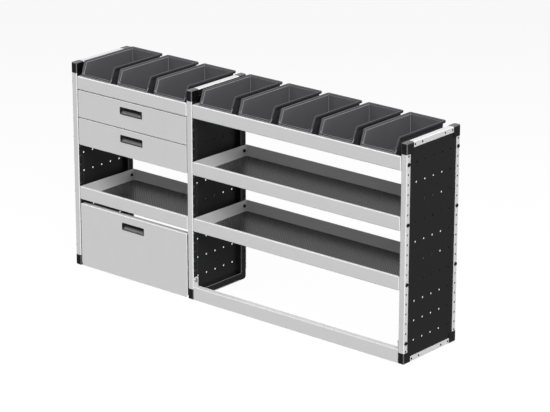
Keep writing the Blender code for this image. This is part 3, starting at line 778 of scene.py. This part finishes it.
def model_nut(name):
    """Flange nut with the end of its bolt, standing out toward +X from zero."""
    flange_radius, flange_height = 0.0082, 0.0012
    nut_radius, nut_height, nut_middle, nut_rounding = 0.0070, 0.0052, 0.0036, 0.0006
    bolt_radius, bolt_length, bolt_middle, bolt_rounding = 0.0030, 0.0035, 0.0075, 0.0007
    flange = add_rod(name, (flange_height / 2, 0, 0), flange_radius, flange_height, sides=28)
    nut = add_rod("nut_body", (nut_middle, 0, 0), nut_radius, nut_height, sides=6)
    round_folds(nut, nut_rounding, segments=2,
                test=lambda edge: middle_of(edge).x > nut_middle + NEAR)
    stub = add_rod("bolt_end", (bolt_middle, 0, 0), bolt_radius, bolt_length, sides=16)
    round_folds(stub, bolt_rounding, segments=2,
                test=lambda edge: middle_of(edge).x > bolt_middle + NEAR)
    piece = merge([flange, nut, stub], name)
    shade(piece)
    return piece


class RACK_OT_fixings(bpy.types.Operator):
    """Add the bolts, screws and nuts that hold the strips, trays and panels"""
    bl_idname = "rack.fixings"
    bl_label = "Bolts, screws and nuts"

    def execute(self, context):
        size = sizes()
        steel = finish_named("Black-oxide steel")
        row_y = FRONT + size.hole_setback
        bolt_radius, bolt_height, bolt_socket = 0.0086, 0.0046, 0.0030
        screw_radius, screw_height, screw_socket = 0.0043, 0.0016, 0.0016
        bolt = model_bolt("bolt_pattern", bolt_radius, bolt_height, bolt_socket)
        screw = model_bolt("screw_pattern", screw_radius, screw_height, screw_socket)
        half_row = half_hole_row()
        rises = [hole * size.hole_pitch - half_row for hole in (0, 6, 12, 18)]
        bolt_spots = [(row_y, rise) for rise in rises] + [(-row_y, rise) for rise in rises[1:]]
        screw_inset = 0.0082
        screw_places = (-0.131, -0.080, 0.080, 0.131)
        post_rise = (POST[1].z - POST[0].z) / 2 - screw_inset
        beam_rise = BEAM_TOP - MIDDLE_HEIGHT - size.hole_setback
        screw_spots = [(way * row_y, turn * post_rise) for way in (-1, 1) for turn in (-1, 1)]
        screw_spots += [(place, turn * beam_rise) for place in screw_places for turn in (-1, 1)]
        for label, middle_x, outward in upright_places():
            turn = (0, 0, 180) if outward > 0 else (0, 0, 0)
            outer_x = middle_x + outward * WIDTH / 2
            if label != "middle":
                heads = [place_copy(bolt, "bolt", (outer_x, y, MIDDLE_HEIGHT + z), turn)
                         for y, z in bolt_spots]
                dress(merge(heads, f"{label}_bolts"), steel, "black_coat", "frame")
                heads = [place_copy(screw, "screw", (outer_x, y, MIDDLE_HEIGHT + z), turn)
                         for y, z in screw_spots]
                dress(merge(heads, f"{label}_screws"), steel, "black_coat", "frame")
        discard(bolt, screw)
        insert_radius, insert_bore, insert_height = 0.0052, 0.0030, 0.0008
        insert_x = PAN[1].x - POST_X["left"] - WIDTH / 2 + insert_height / 2
        insert = add_rod("insert_pattern", (insert_x, row_y, -half_row), insert_radius,
                         insert_height, sides=20)
        drill(insert, (WIDTH / 2, row_y, -half_row), insert_bore, WIDTH, sides=16)
        finish_with(insert, "ARRAY", count=size.post_holes, use_relative_offset=False,
                    use_constant_offset=True, constant_offset_displace=(0, 0, size.hole_pitch))
        shade(insert)
        for label, middle_x, outward in upright_places():
            turn = (0, 180, 0) if outward > 0 else (0, 0, 0)
            rings = place_copy(insert, f"{label}_threaded_inserts",
                               (middle_x, 0, MIDDLE_HEIGHT), turn)
            dress(rings, finish_named("Zinc-plated steel"), "zinc_steel", "frame")
        discard(insert)
        nut = model_nut("nut_pattern")
        nut_setback = 0.006
        nut_y = row_y + nut_setback
        for tray in TRAYS:
            bay = LEFT_BAY if "left" in tray else RIGHT_BAY
            low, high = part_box(tray)
            inset = size.tray_gap + size.tray_gauge
            nuts = []
            for wall_x, turn in ((bay[0] + inset, 0), (bay[1] - inset, 180)):
                for y in (nut_y, -nut_y):
                    nuts.append(place_copy(nut, "nut", (wall_x, y, (low.z + high.z) / 2),
                                           (0, 0, turn)))
            dress(merge(nuts, f"{tray}_nuts"), steel, "black_coat", "frame")
        discard(nut)
        return {"FINISHED"}


# Trays, mats and the bottom rail


class RACK_OT_trays(bpy.types.Operator):
    """Model the lipped trays"""
    bl_idname = "rack.trays"
    bl_label = "Trays"

    def execute(self, context):
        size = sizes()
        coat = finish_named("Light grey powder-coated steel")
        for node in TRAYS:
            bay = LEFT_BAY if "left" in node else RIGHT_BAY
            low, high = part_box(node)
            middle_z = (low.z + high.z) / 2
            tray = add_block(node.replace("tray", "lipped_tray"),
                             (bay[0] + size.tray_gap, FRONT, low.z),
                             (bay[1] - size.tray_gap, BACK, high.z))
            delete_faces(tray, facing(0, 0, 1))
            choose(tray, "VERT", lambda vertex: vertex.co.y > 0 and vertex.co.z > middle_z)
            bpy.ops.transform.translate(value=(0, 0, -size.wall_drop))
            round_folds(tray, size.tray_fold, segments=5)
            choose(tray, "EDGE", lambda edge: is_open(edge)
                   and all(is_near(vertex.co.y, FRONT) for vertex in edge.verts))
            extrude(0, size.tray_hem, 0)
            round_folds(tray, size.tray_fold / 2, segments=4, test=lambda edge: is_fold(edge)
                        and is_near(middle_of(edge).y, FRONT)
                        and is_near(middle_of(edge).z, high.z))
            # The rounded folds get a lighter colour: a painted highlight.
            paint_faces(tray, coat, finish_named("Light grey coat over a fold"), is_bent)
            give_gauge(tray, size.tray_gauge)
            shade(tray)
            dress(tray, coat, "light_grey", "frame", node)
        return {"FINISHED"}


class RACK_OT_mats(bpy.types.Operator):
    """Model the rubber mats of the open trays"""
    bl_idname = "rack.mats"
    bl_label = "Rubber mats"

    def execute(self, context):
        rubber = finish_named("Ribbed rubber")
        corner, rounding = 0.008, 0.0009
        for node in MATS:
            low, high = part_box(node)
            mat = add_block(node.replace("mat_", "rubber_mat_"), low, high)
            round_folds(mat, corner, segments=5,
                        test=lambda edge: reach(edge, "z") > (high.z - low.z) / 2)
            round_folds(mat, rounding, segments=2, test=lambda edge: is_fold(edge)
                        and is_near(middle_of(edge).z, high.z))
            shade(mat)
            dress(mat, rubber, "rubber_mat", "frame", node)
        return {"FINISHED"}


class RACK_OT_bottom_rail(bpy.types.Operator):
    """Model the folded rail at the foot of the right bay, with its end brackets"""
    bl_idname = "rack.bottom_rail"
    bl_label = "Bottom rail"

    def execute(self, context):
        size = sizes()
        coat = finish_named("Light grey powder-coated steel")
        low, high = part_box("rail_bottom")
        end_gap, depth, rail_top, fold, gauge = 0.0018, 0.029, 0.064, 0.0035, 0.0015
        plate_gauge, plate_reach, plate_lift, plate_corner = 0.002, 0.031, 0.002, 0.008
        hole_radius, hole_setback, hole_z, nut_z = 0.0028, 0.024, 0.082, 0.096
        rounding = 0.0003
        ends = ((RIGHT_BAY[0] + end_gap, 1), (RIGHT_BAY[1] - end_gap, -1))
        rail = add_block("foot_rail", (ends[0][0], FRONT, low.z),
                         (ends[1][0], FRONT + depth, rail_top))
        delete_faces(rail, facing_any((0, 1, 0), (0, 0, -1), (1, 0, 0), (-1, 0, 0)))
        round_folds(rail, fold, segments=5)
        give_gauge(rail, gauge)
        ease_edges(rail, rounding)
        shade(rail)
        dress(rail, coat, "light_grey", "frame", "rail_bottom")
        plates = []
        nuts = []
        nut = model_nut("bracket_nut")
        for end_x, inward in ends:
            far_x = end_x + inward * plate_gauge
            plate = add_block("bracket", (min(end_x, far_x), FRONT + gauge, low.z + plate_lift),
                              (max(end_x, far_x), FRONT + plate_reach, high.z))
            round_folds(plate, plate_corner, segments=5,
                        test=lambda edge: reach(edge, "x") > plate_gauge / 2
                        and middle_of(edge).z > rail_top)
            drill(plate, (end_x, FRONT + hole_setback, hole_z), hole_radius, 5 * plate_gauge)
            ease_edges(plate, rounding)
            plates.append(plate)
            turn = (0, 0, 0) if inward > 0 else (0, 0, 180)
            nuts.append(place_copy(nut, "placed_nut", (far_x, FRONT + size.hole_setback, nut_z),
                                   turn))
        discard(nut)
        brackets = merge(plates, "foot_rail_brackets")
        shade(brackets)
        dress(brackets, coat, "light_grey", "frame")
        dress(merge(nuts, "foot_rail_nuts"), finish_named("Zinc-plated steel"), "zinc_steel",
              "frame")
        return {"FINISHED"}


# Storage bins


def open_vertices(test):
    """Return a test for the vertices of the open edge whose place passes another test."""
    return lambda vertex: any(map(is_open, vertex.link_edges)) and test(vertex.co)


def grow_open_edge(piece, half, pivots, out, rise, forward):
    """Extrude the open edge: sides outward, rear backward, slanted front down its slope."""
    rear, sill, head = pivots
    margin = 0.001
    choose(piece, "EDGE", is_open)
    extrude(0, 0, rise)
    bpy.ops.transform.resize(value=(1 + out / half[0], 1, 1), center_override=(0, 0, 0))
    choose(piece, "VERT", open_vertices(lambda place: place.y > rear.y))
    bpy.ops.transform.resize(value=(1, 1 + out / (half[1] - rear.y), 1), center_override=rear)
    choose(piece, "VERT", open_vertices(lambda place: place.y < head.y + NEAR))
    bpy.ops.transform.translate(value=(0, -forward, 0))
    choose(piece, "VERT", open_vertices(lambda place: place.z < sill.z + rise + margin))
    lowest = min(vertex.co.z for vertex in bmesh.from_edit_mesh(piece.data).verts
                 if vertex.select)
    centre = sill + Vector((0, -forward, rise))
    fall = (head - sill).normalized().z * out
    factor = 1 + fall / (centre.z - lowest)
    bpy.ops.transform.resize(value=(1, factor, factor), center_override=centre)
    return [width + out for width in half], [rear, centre, head + centre - sill]


def is_at_open_edge(face):
    """Tell whether a face lies along the open edge."""
    return any(map(is_open, face.edges))


def is_rear_inner_corner(face):
    """Tell whether a face belongs to the rounding of a bin's rear inner corners."""
    level_share, turned_share = 0.3, 0.2
    spot, way = face.calc_center_median(), face.normal
    return (abs(way.z) < level_share and min(abs(way.x), abs(way.y)) > turned_share
            and spot.y > 0 and way.y < 0 and way.x * spot.x < 0)


def is_side_outside(face):
    """Tell whether a face looks outward from a bin's side."""
    sideways_share = 0.7
    return (abs(face.normal.x) > sideways_share
            and face.normal.x * face.calc_center_median().x > 0)


class RACK_OT_bins(bpy.types.Operator):
    """Model one open-front storage bin and copy it along the upper trays"""
    bl_idname = "rack.bins"
    bl_label = "Storage bins"

    def execute(self, context):
        size = sizes()
        plastic = finish_named("Dark grey moulded polypropylene")
        # Lighter finish: a painted highlight on the rim's fillets and edges and the rear inner
        # corners.
        polish_and_painted_highlight = finish_named("Polished polypropylene rim")
        # Darker finish: real grain, with painted shade between the bins and under the low front
        # rim.
        texture_and_painted_shade = finish_named("Textured polypropylene outside")
        low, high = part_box(BINS[0])
        centre = (low + high) / 2
        overhang = size.bin_rim + size.bin_wall
        rise = high.z - low.z - size.bin_wall - size.bin_fillet - size.bin_step
        half = ((high.x - low.x) / 2 - overhang, size.bin_depth / 2 - overhang)
        bottom = low.z - centre.z
        top = bottom + rise
        tub = add_block("bin_pattern", (-half[0], -half[1], bottom), (half[0], half[1], top))
        choose(tub, "VERT", lambda vertex: vertex.co.z < 0)
        bpy.ops.transform.resize(value=(1 - size.bin_draft / half[0],
                                        1 - size.bin_draft / half[1], 1),
                                 center_override=(0, 0, bottom))
        delete_faces(tub, facing(0, 0, 1))
        round_folds(tub, size.bin_corner, segments=6,
                    test=lambda edge: is_fold(edge) and reach(edge, "z") > rise / 2)
        round_folds(tub, size.bin_corner, segments=4)
        lip_y = -half[1] + size.bin_draft * (rise - size.bin_lip) / rise
        knee = Vector((0, lip_y, bottom + size.bin_lip))
        head = Vector((0, lip_y + size.bin_slant, top))
        slope = head - knee
        choose(tub, "FACE", lambda face: True)
        bpy.ops.mesh.bisect(plane_co=knee, plane_no=(0, -slope.z, slope.y), clear_outer=True)
        clear_selection()
        rear = Vector((0, half[1] - size.bin_corner, 0))
        sill = knee + slope * (size.bin_corner / slope.y)

        def is_before_rear(face):
            """Tell whether a face of the open edge isn't at the rear."""
            return is_at_open_edge(face) and face.calc_center_median().y < half[1]

        def is_near_sill(face):
            """Tell whether a face of the open edge belongs to the low front."""
            return (is_at_open_edge(face)
                    and face.calc_center_median().z < sill.z + 2 * size.bin_step)

        # The rim grows in steps: how far out, how far up, and which faces get a painted highlight
        # (fillets, edges) and painted shade (the low front's flat rim).
        edge, lean, forward_share = size.bin_wall / 2, 0.0002, 0.75
        flat = size.bin_rim - size.bin_fillet - 2 * edge - lean
        steps = ((size.bin_fillet, size.bin_fillet, polish_and_painted_highlight, is_before_rear),
                 (lean, size.bin_step - edge, plastic, is_at_open_edge),
                 (edge, edge, polish_and_painted_highlight, is_near_sill),
                 (flat, 0, texture_and_painted_shade, is_near_sill),
                 (edge, -edge, polish_and_painted_highlight, is_at_open_edge))
        widths, pivots = half, (rear, sill, head)
        for out, up, finish, test in steps:
            widths, pivots = grow_open_edge(tub, widths, pivots, out, up, forward_share * up)
            paint_faces(tub, plastic, plastic, is_at_open_edge)
            paint_faces(tub, plastic, finish, test)
        grow_open_edge(tub, widths, pivots, -edge, -size.bin_skirt, 0)
        paint_faces(tub, plastic, plastic, is_at_open_edge)
        choose(tub, "VERT", open_vertices(lambda place: place.z < sill.z - size.bin_skirt))
        bpy.ops.transform.translate(value=(0, size.bin_fillet, size.bin_skirt))
        give_gauge(tub, size.bin_wall)
        # The rounded rear inner corners get a painted highlight.
        paint_faces(tub, plastic, polish_and_painted_highlight, is_rear_inner_corner)
        # The outer sides get the darker grained finish: painted shade between neighbouring bins.
        paint_faces(tub, plastic, texture_and_painted_shade, is_side_outside)
        ease_edges(tub, size.bin_wall / 4, segments=3)
        shade(tub)
        for node in BINS:
            low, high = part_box(node)
            place = (low + high) / 2
            place.y = FRONT + size.bin_setback + size.bin_depth / 2
            piece = place_copy(tub, node.replace("bin", "storage_bin"), place)
            dress(piece, plastic, "bin_plastic", node, node)
        discard(tub)
        return {"FINISHED"}


# Drawers, flap and handles


def folded_pan(name, low, high, lip, radius):
    """Open sheet of a pan-shaped front with folded rims and return lips behind it."""
    pan = add_block(name, low, high)
    choose(pan, "FACE", facing(0, 1, 0))
    bpy.ops.mesh.inset(thickness=lip, depth=0)
    bpy.ops.mesh.delete(type="FACE")
    round_folds(pan, radius, segments=5)
    return pan


def cut_cup_place(piece, handle):
    """Cut the opening for a cup handle in a front."""
    low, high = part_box(handle)
    overlap = 0.0041
    cut(piece, add_block("cup_opening", (low.x + overlap, FRONT - overlap, low.z + overlap),
                         (high.x - overlap, FRONT + overlap, high.z - overlap)))


class RACK_OT_drawer_fronts(bpy.types.Operator):
    """Model the folded fronts of the two drawers"""
    bl_idname = "rack.drawer_fronts"
    bl_label = "Drawer fronts"

    def execute(self, context):
        coat = finish_named("Light grey powder-coated steel")
        gap, lip, fold, gauge = 0.0008, 0.014, 0.0012, 0.0015
        spare = Vector((0, 0, gap))
        for level in ("lower", "upper"):
            node = f"drawer_{level}_front"
            low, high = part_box(node)
            piece = folded_pan(f"{level}_drawer_face", low + spare, high - spare, lip, fold)
            give_gauge(piece, gauge)
            cut_cup_place(piece, f"drawer_{level}_handle")
            shade(piece)
            dress(piece, coat, "light_grey", f"drawer_{level}", node)
            repaint(f"drawer_{level}_box", coat)
            for side in ("left", "right"):
                repaint(f"slide_{level}_{side}_middle", finish_named("Zinc-plated steel"))
        repaint("drawer_housing", finish_named("Black powder-coated steel"))
        return {"FINISHED"}


class RACK_OT_cup_handles(bpy.types.Operator):
    """Model one recessed cup handle and copy it to the drawers and the flap"""
    bl_idname = "rack.cup_handles"
    bl_label = "Cup handles"

    def execute(self, context):
        low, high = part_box("drawer_upper_handle")
        middle, half = (low + high) / 2, (high - low) / 2
        seat_gap, corner, rounding = 0.0003, 0.0035, 0.0006
        back_rim, scoop_rim, scoop_wall = 0.0054, 0.0036, 0.0018
        scoop_fall, scoop_ramp = 0.0060, 0.0105
        seat = FRONT - seat_gap
        cup = add_block("cup_pattern", (-half.x, low.y, -half.z), (half.x, seat, half.z))
        round_folds(cup, corner, segments=5,
                    test=lambda edge: reach(edge, "y") > (seat - low.y) / 2)
        for way, rim, depth in ((1, back_rim, high.y - seat),
                                (-1, scoop_rim, high.y - low.y - scoop_wall)):
            choose(cup, "FACE", facing(0, way, 0))
            bpy.ops.mesh.inset(thickness=rim, depth=0)
            extrude(0, depth, 0)
        # The scoop's roof comes down a little and its floor slopes up toward the rear.
        for side, way in ((1, -scoop_fall), (-1, scoop_ramp)):
            choose(cup, "VERT", lambda vertex: vertex.co.z * side > 0
                   and is_near(vertex.co.y, high.y - scoop_wall))
            bpy.ops.transform.translate(value=(0, 0, way))
        clear_selection()
        plastic = finish_named("Black moulded ABS")
        # The scoop's sloped floor is painted grey: a painted highlight where it faces up into the
        # light.
        ramp_share = 0.4
        paint_faces(cup, plastic, finish_named("Worn ABS in the scoop"),
                    lambda face: face.normal.z > ramp_share and face.normal.y < -ramp_share)
        ease_edges(cup, rounding, segments=3)
        shade(cup)
        for node, body in (("drawer_lower_handle", "drawer_lower"),
                           ("drawer_upper_handle", "drawer_upper"), ("flap_handle", "flap")):
            low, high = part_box(node)
            piece = place_copy(cup, node.replace("handle", "cup"),
                               (middle.x, 0, (low.z + high.z) / 2))
            dress(piece, plastic, "black_plastic", body, node)
        discard(cup)
        return {"FINISHED"}


class RACK_OT_flap(bpy.types.Operator):
    """Model the drop-down flap with its hinge knuckles"""
    bl_idname = "rack.flap"
    bl_label = "Drop-down flap"

    def execute(self, context):
        coat = finish_named("Light grey powder-coated steel")
        low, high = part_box("flap_leaf")
        axis = next(joint for joint in frame["joints"] if joint["name"] == "flap_hinge")["pos_m"]
        overlap, foot_z, depth = 0.002, 0.013, 0.029
        lip, fold, gauge = 0.028, 0.0026, 0.0012
        skirt_inset, skirt_foot, skirt_top = 0.0034, 0.004, 0.020
        knuckle_radius, knuckle_length, bore_radius, bore_length = 0.0042, 0.030, 0.0024, 0.036
        knuckle_shares = (-0.36, 0, 0.36)
        leaf = folded_pan("flap_face", (low.x - overlap, FRONT, foot_z),
                          (high.x + overlap, FRONT + depth, high.z), lip, fold)
        # The rounded folds get a lighter colour: a painted highlight.
        paint_faces(leaf, coat, finish_named("Light grey coat over a fold"), is_bent)
        # The side returns are painted black: painted shade in the gaps beside the flap.
        paint_faces(leaf, coat, finish_named("Black powder-coated steel"),
                    facing_any((1, 0, 0), (-1, 0, 0)))
        give_gauge(leaf, gauge)
        skirt = add_block("flap_skirt", (low.x + skirt_inset, FRONT, skirt_foot),
                          (high.x - skirt_inset, FRONT + gauge, skirt_top))
        cut(leaf, skirt, "UNION")
        for share in knuckle_shares:
            place = ((low.x + high.x) / 2 + share * (LEFT_BAY[1] - LEFT_BAY[0]), *axis[1:])
            knuckle = add_rod("knuckle", place, knuckle_radius, knuckle_length, sides=20)
            cut(leaf, knuckle, "UNION")
            drill(leaf, place, bore_radius, bore_length, sides=16)
        cut_cup_place(leaf, "flap_handle")
        shade(leaf)
        dress(leaf, coat, "light_grey", "flap", "flap_leaf")
        repaint("flap_threshold", coat)
        return {"FINISHED"}


# Studio


def add_sun(name, place, power, spread):
    """Add one soft sun that shines from a place toward the middle and isn't seen itself."""
    clear_selection()
    bpy.ops.object.light_add(type="SUN", location=place)
    light = bpy.context.active_object
    light.name = name
    light.data.energy = power
    light.data.angle = radians(spread)
    light.visible_camera = False
    light.rotation_euler = (-Vector(place)).to_track_quat("-Z", "Y").to_euler()


class RACK_OT_stage(bpy.types.Operator):
    """Set up the floor, the light and the camera"""
    bl_idname = "rack.stage"
    bl_label = "Studio"

    def execute(self, context):
        scene = context.scene
        clear_selection()
        floor_span, floor_gap = 60, 0.0005
        bpy.ops.mesh.primitive_plane_add(size=floor_span, location=(0, 0, -floor_gap))
        floor = settled("studio_floor")
        sheet, tree, shader, where = new_finish("Backlit white acrylic", colours().floor,
                                                roughness=0.9, specular=0.1)
        shader.inputs["Emission Color"].default_value = (1, 1, 1, 1)
        # The sheet's glow is painted a little weaker toward its far left corner, a painted falloff
        # of the light.
        far_left = (-0.65, 0.76, 0)
        distance = add_node(tree, "ShaderNodeVectorMath", {1: far_left}, {0: where},
                            operation="DOT_PRODUCT")
        fade = add_node(tree, "ShaderNodeMapRange",
                        {"From Min": 0.0, "From Max": 5.0, "To Min": 0.965, "To Max": 0.885},
                        {"Value": distance.outputs["Value"]})
        tree.links.new(fade.outputs["Result"], shader.inputs["Emission Strength"])
        vary_roughness(tree, shader, where, low=0.85, high=0.95, size=400)
        floor.data.materials.append(sheet)
        # The floor is a backdrop: it takes the light and throws none back at the rack.
        floor.visible_diffuse = False
        floor.visible_glossy = False
        floor.visible_shadow = False

        world = bpy.data.worlds.new("Studio light")
        world.use_nodes = True
        scene.world = world
        tree = world.node_tree
        background = tree.nodes["Background"]
        background.inputs["Color"].default_value = (1, 1, 1, 1)
        way = add_node(tree, "ShaderNodeTexCoord")
        zenith = (0.20, 0.08, 0.98)
        height = add_node(tree, "ShaderNodeVectorMath", {1: zenith}, {0: way.outputs["Object"]},
                          operation="DOT_PRODUCT")
        fade = add_node(tree, "ShaderNodeMapRange",
                        {"From Min": -0.1, "From Max": 0.4, "To Min": 0.12, "To Max": 0.86},
                        {"Value": height.outputs["Value"]})
        tree.links.new(fade.outputs["Result"], background.inputs["Strength"])
        scene.view_settings.view_transform = "Standard"
        add_sun("key_light", (2.9, -2.5, 3.0), power=2.16, spread=25)
        add_sun("overhead_light", (-6.1, -3.2, 7.2), power=0.7, spread=20)
        add_sun("edge_light", (7.3, -6.1, -3.3), power=0.6, spread=26)

        # The camera stands where the photograph was taken from.
        camera_place, lens_millimetres = (7.3222, -8.5303, 4.2984), 171.097
        azimuth, elevation, roll = radians(40.257), radians(18.850), radians(0.0235)
        ahead = Vector((-sin(azimuth) * cos(elevation), cos(azimuth) * cos(elevation),
                        -sin(elevation)))
        level = ahead.cross(Vector((0, 0, 1))).normalized()
        up = level.cross(ahead)
        right = cos(roll) * level + sin(roll) * up
        up = cos(roll) * up - sin(roll) * level
        bpy.ops.object.camera_add(location=camera_place)
        camera = context.active_object
        camera.name = "camera"
        camera.rotation_euler = Matrix((right, up, -ahead)).transposed().to_euler()
        camera.data.lens = lens_millimetres
        camera.data.clip_end = 100
        scene.camera = camera
        return {"FINISHED"}


OPERATORS = (RACK_OT_edge_strips, RACK_OT_side_panels, RACK_OT_corner_caps, RACK_OT_fixings,
             RACK_OT_trays, RACK_OT_mats, RACK_OT_bottom_rail, RACK_OT_bins,
             RACK_OT_drawer_fronts, RACK_OT_cup_handles, RACK_OT_flap, RACK_OT_stage)


class RACK_PT_panel(bpy.types.Panel):
    """Sidebar panel of the racking parts"""
    bl_idname = "RACK_PT_panel"
    bl_label = "Van racking"
    bl_space_type = "VIEW_3D"
    bl_region_type = "UI"
    bl_category = "Van racking"

    def draw(self, context):
        for operator in OPERATORS:
            self.layout.operator(operator.bl_idname)
        for group in (context.scene.rack_sizes, context.scene.rack_colours):
            column = self.layout.column()
            for name in group.__annotations__:
                column.prop(group, name)


CLASSES = (RackColours, RackSizes, *OPERATORS, RACK_PT_panel)


def register():
    """Register the classes and the scene's settings."""
    for item in CLASSES:
        bpy.utils.register_class(item)
    bpy.types.Scene.rack_colours = PointerProperty(type=RackColours)
    bpy.types.Scene.rack_sizes = PointerProperty(type=RackSizes)


def unregister():
    """Remove the classes and the scene's settings."""
    del bpy.types.Scene.rack_sizes
    del bpy.types.Scene.rack_colours
    for item in reversed(CLASSES):
        bpy.utils.unregister_class(item)


def main():
    """Model every piece in order."""
    register()
    bpy.ops.rack.edge_strips()
    bpy.ops.rack.side_panels()
    bpy.ops.rack.corner_caps()
    bpy.ops.rack.fixings()
    bpy.ops.rack.trays()
    bpy.ops.rack.mats()
    bpy.ops.rack.bottom_rail()
    bpy.ops.rack.bins()
    bpy.ops.rack.drawer_fronts()
    bpy.ops.rack.cup_handles()
    bpy.ops.rack.flap()
    bpy.ops.rack.stage()


if __name__ == "__main__":
    main()
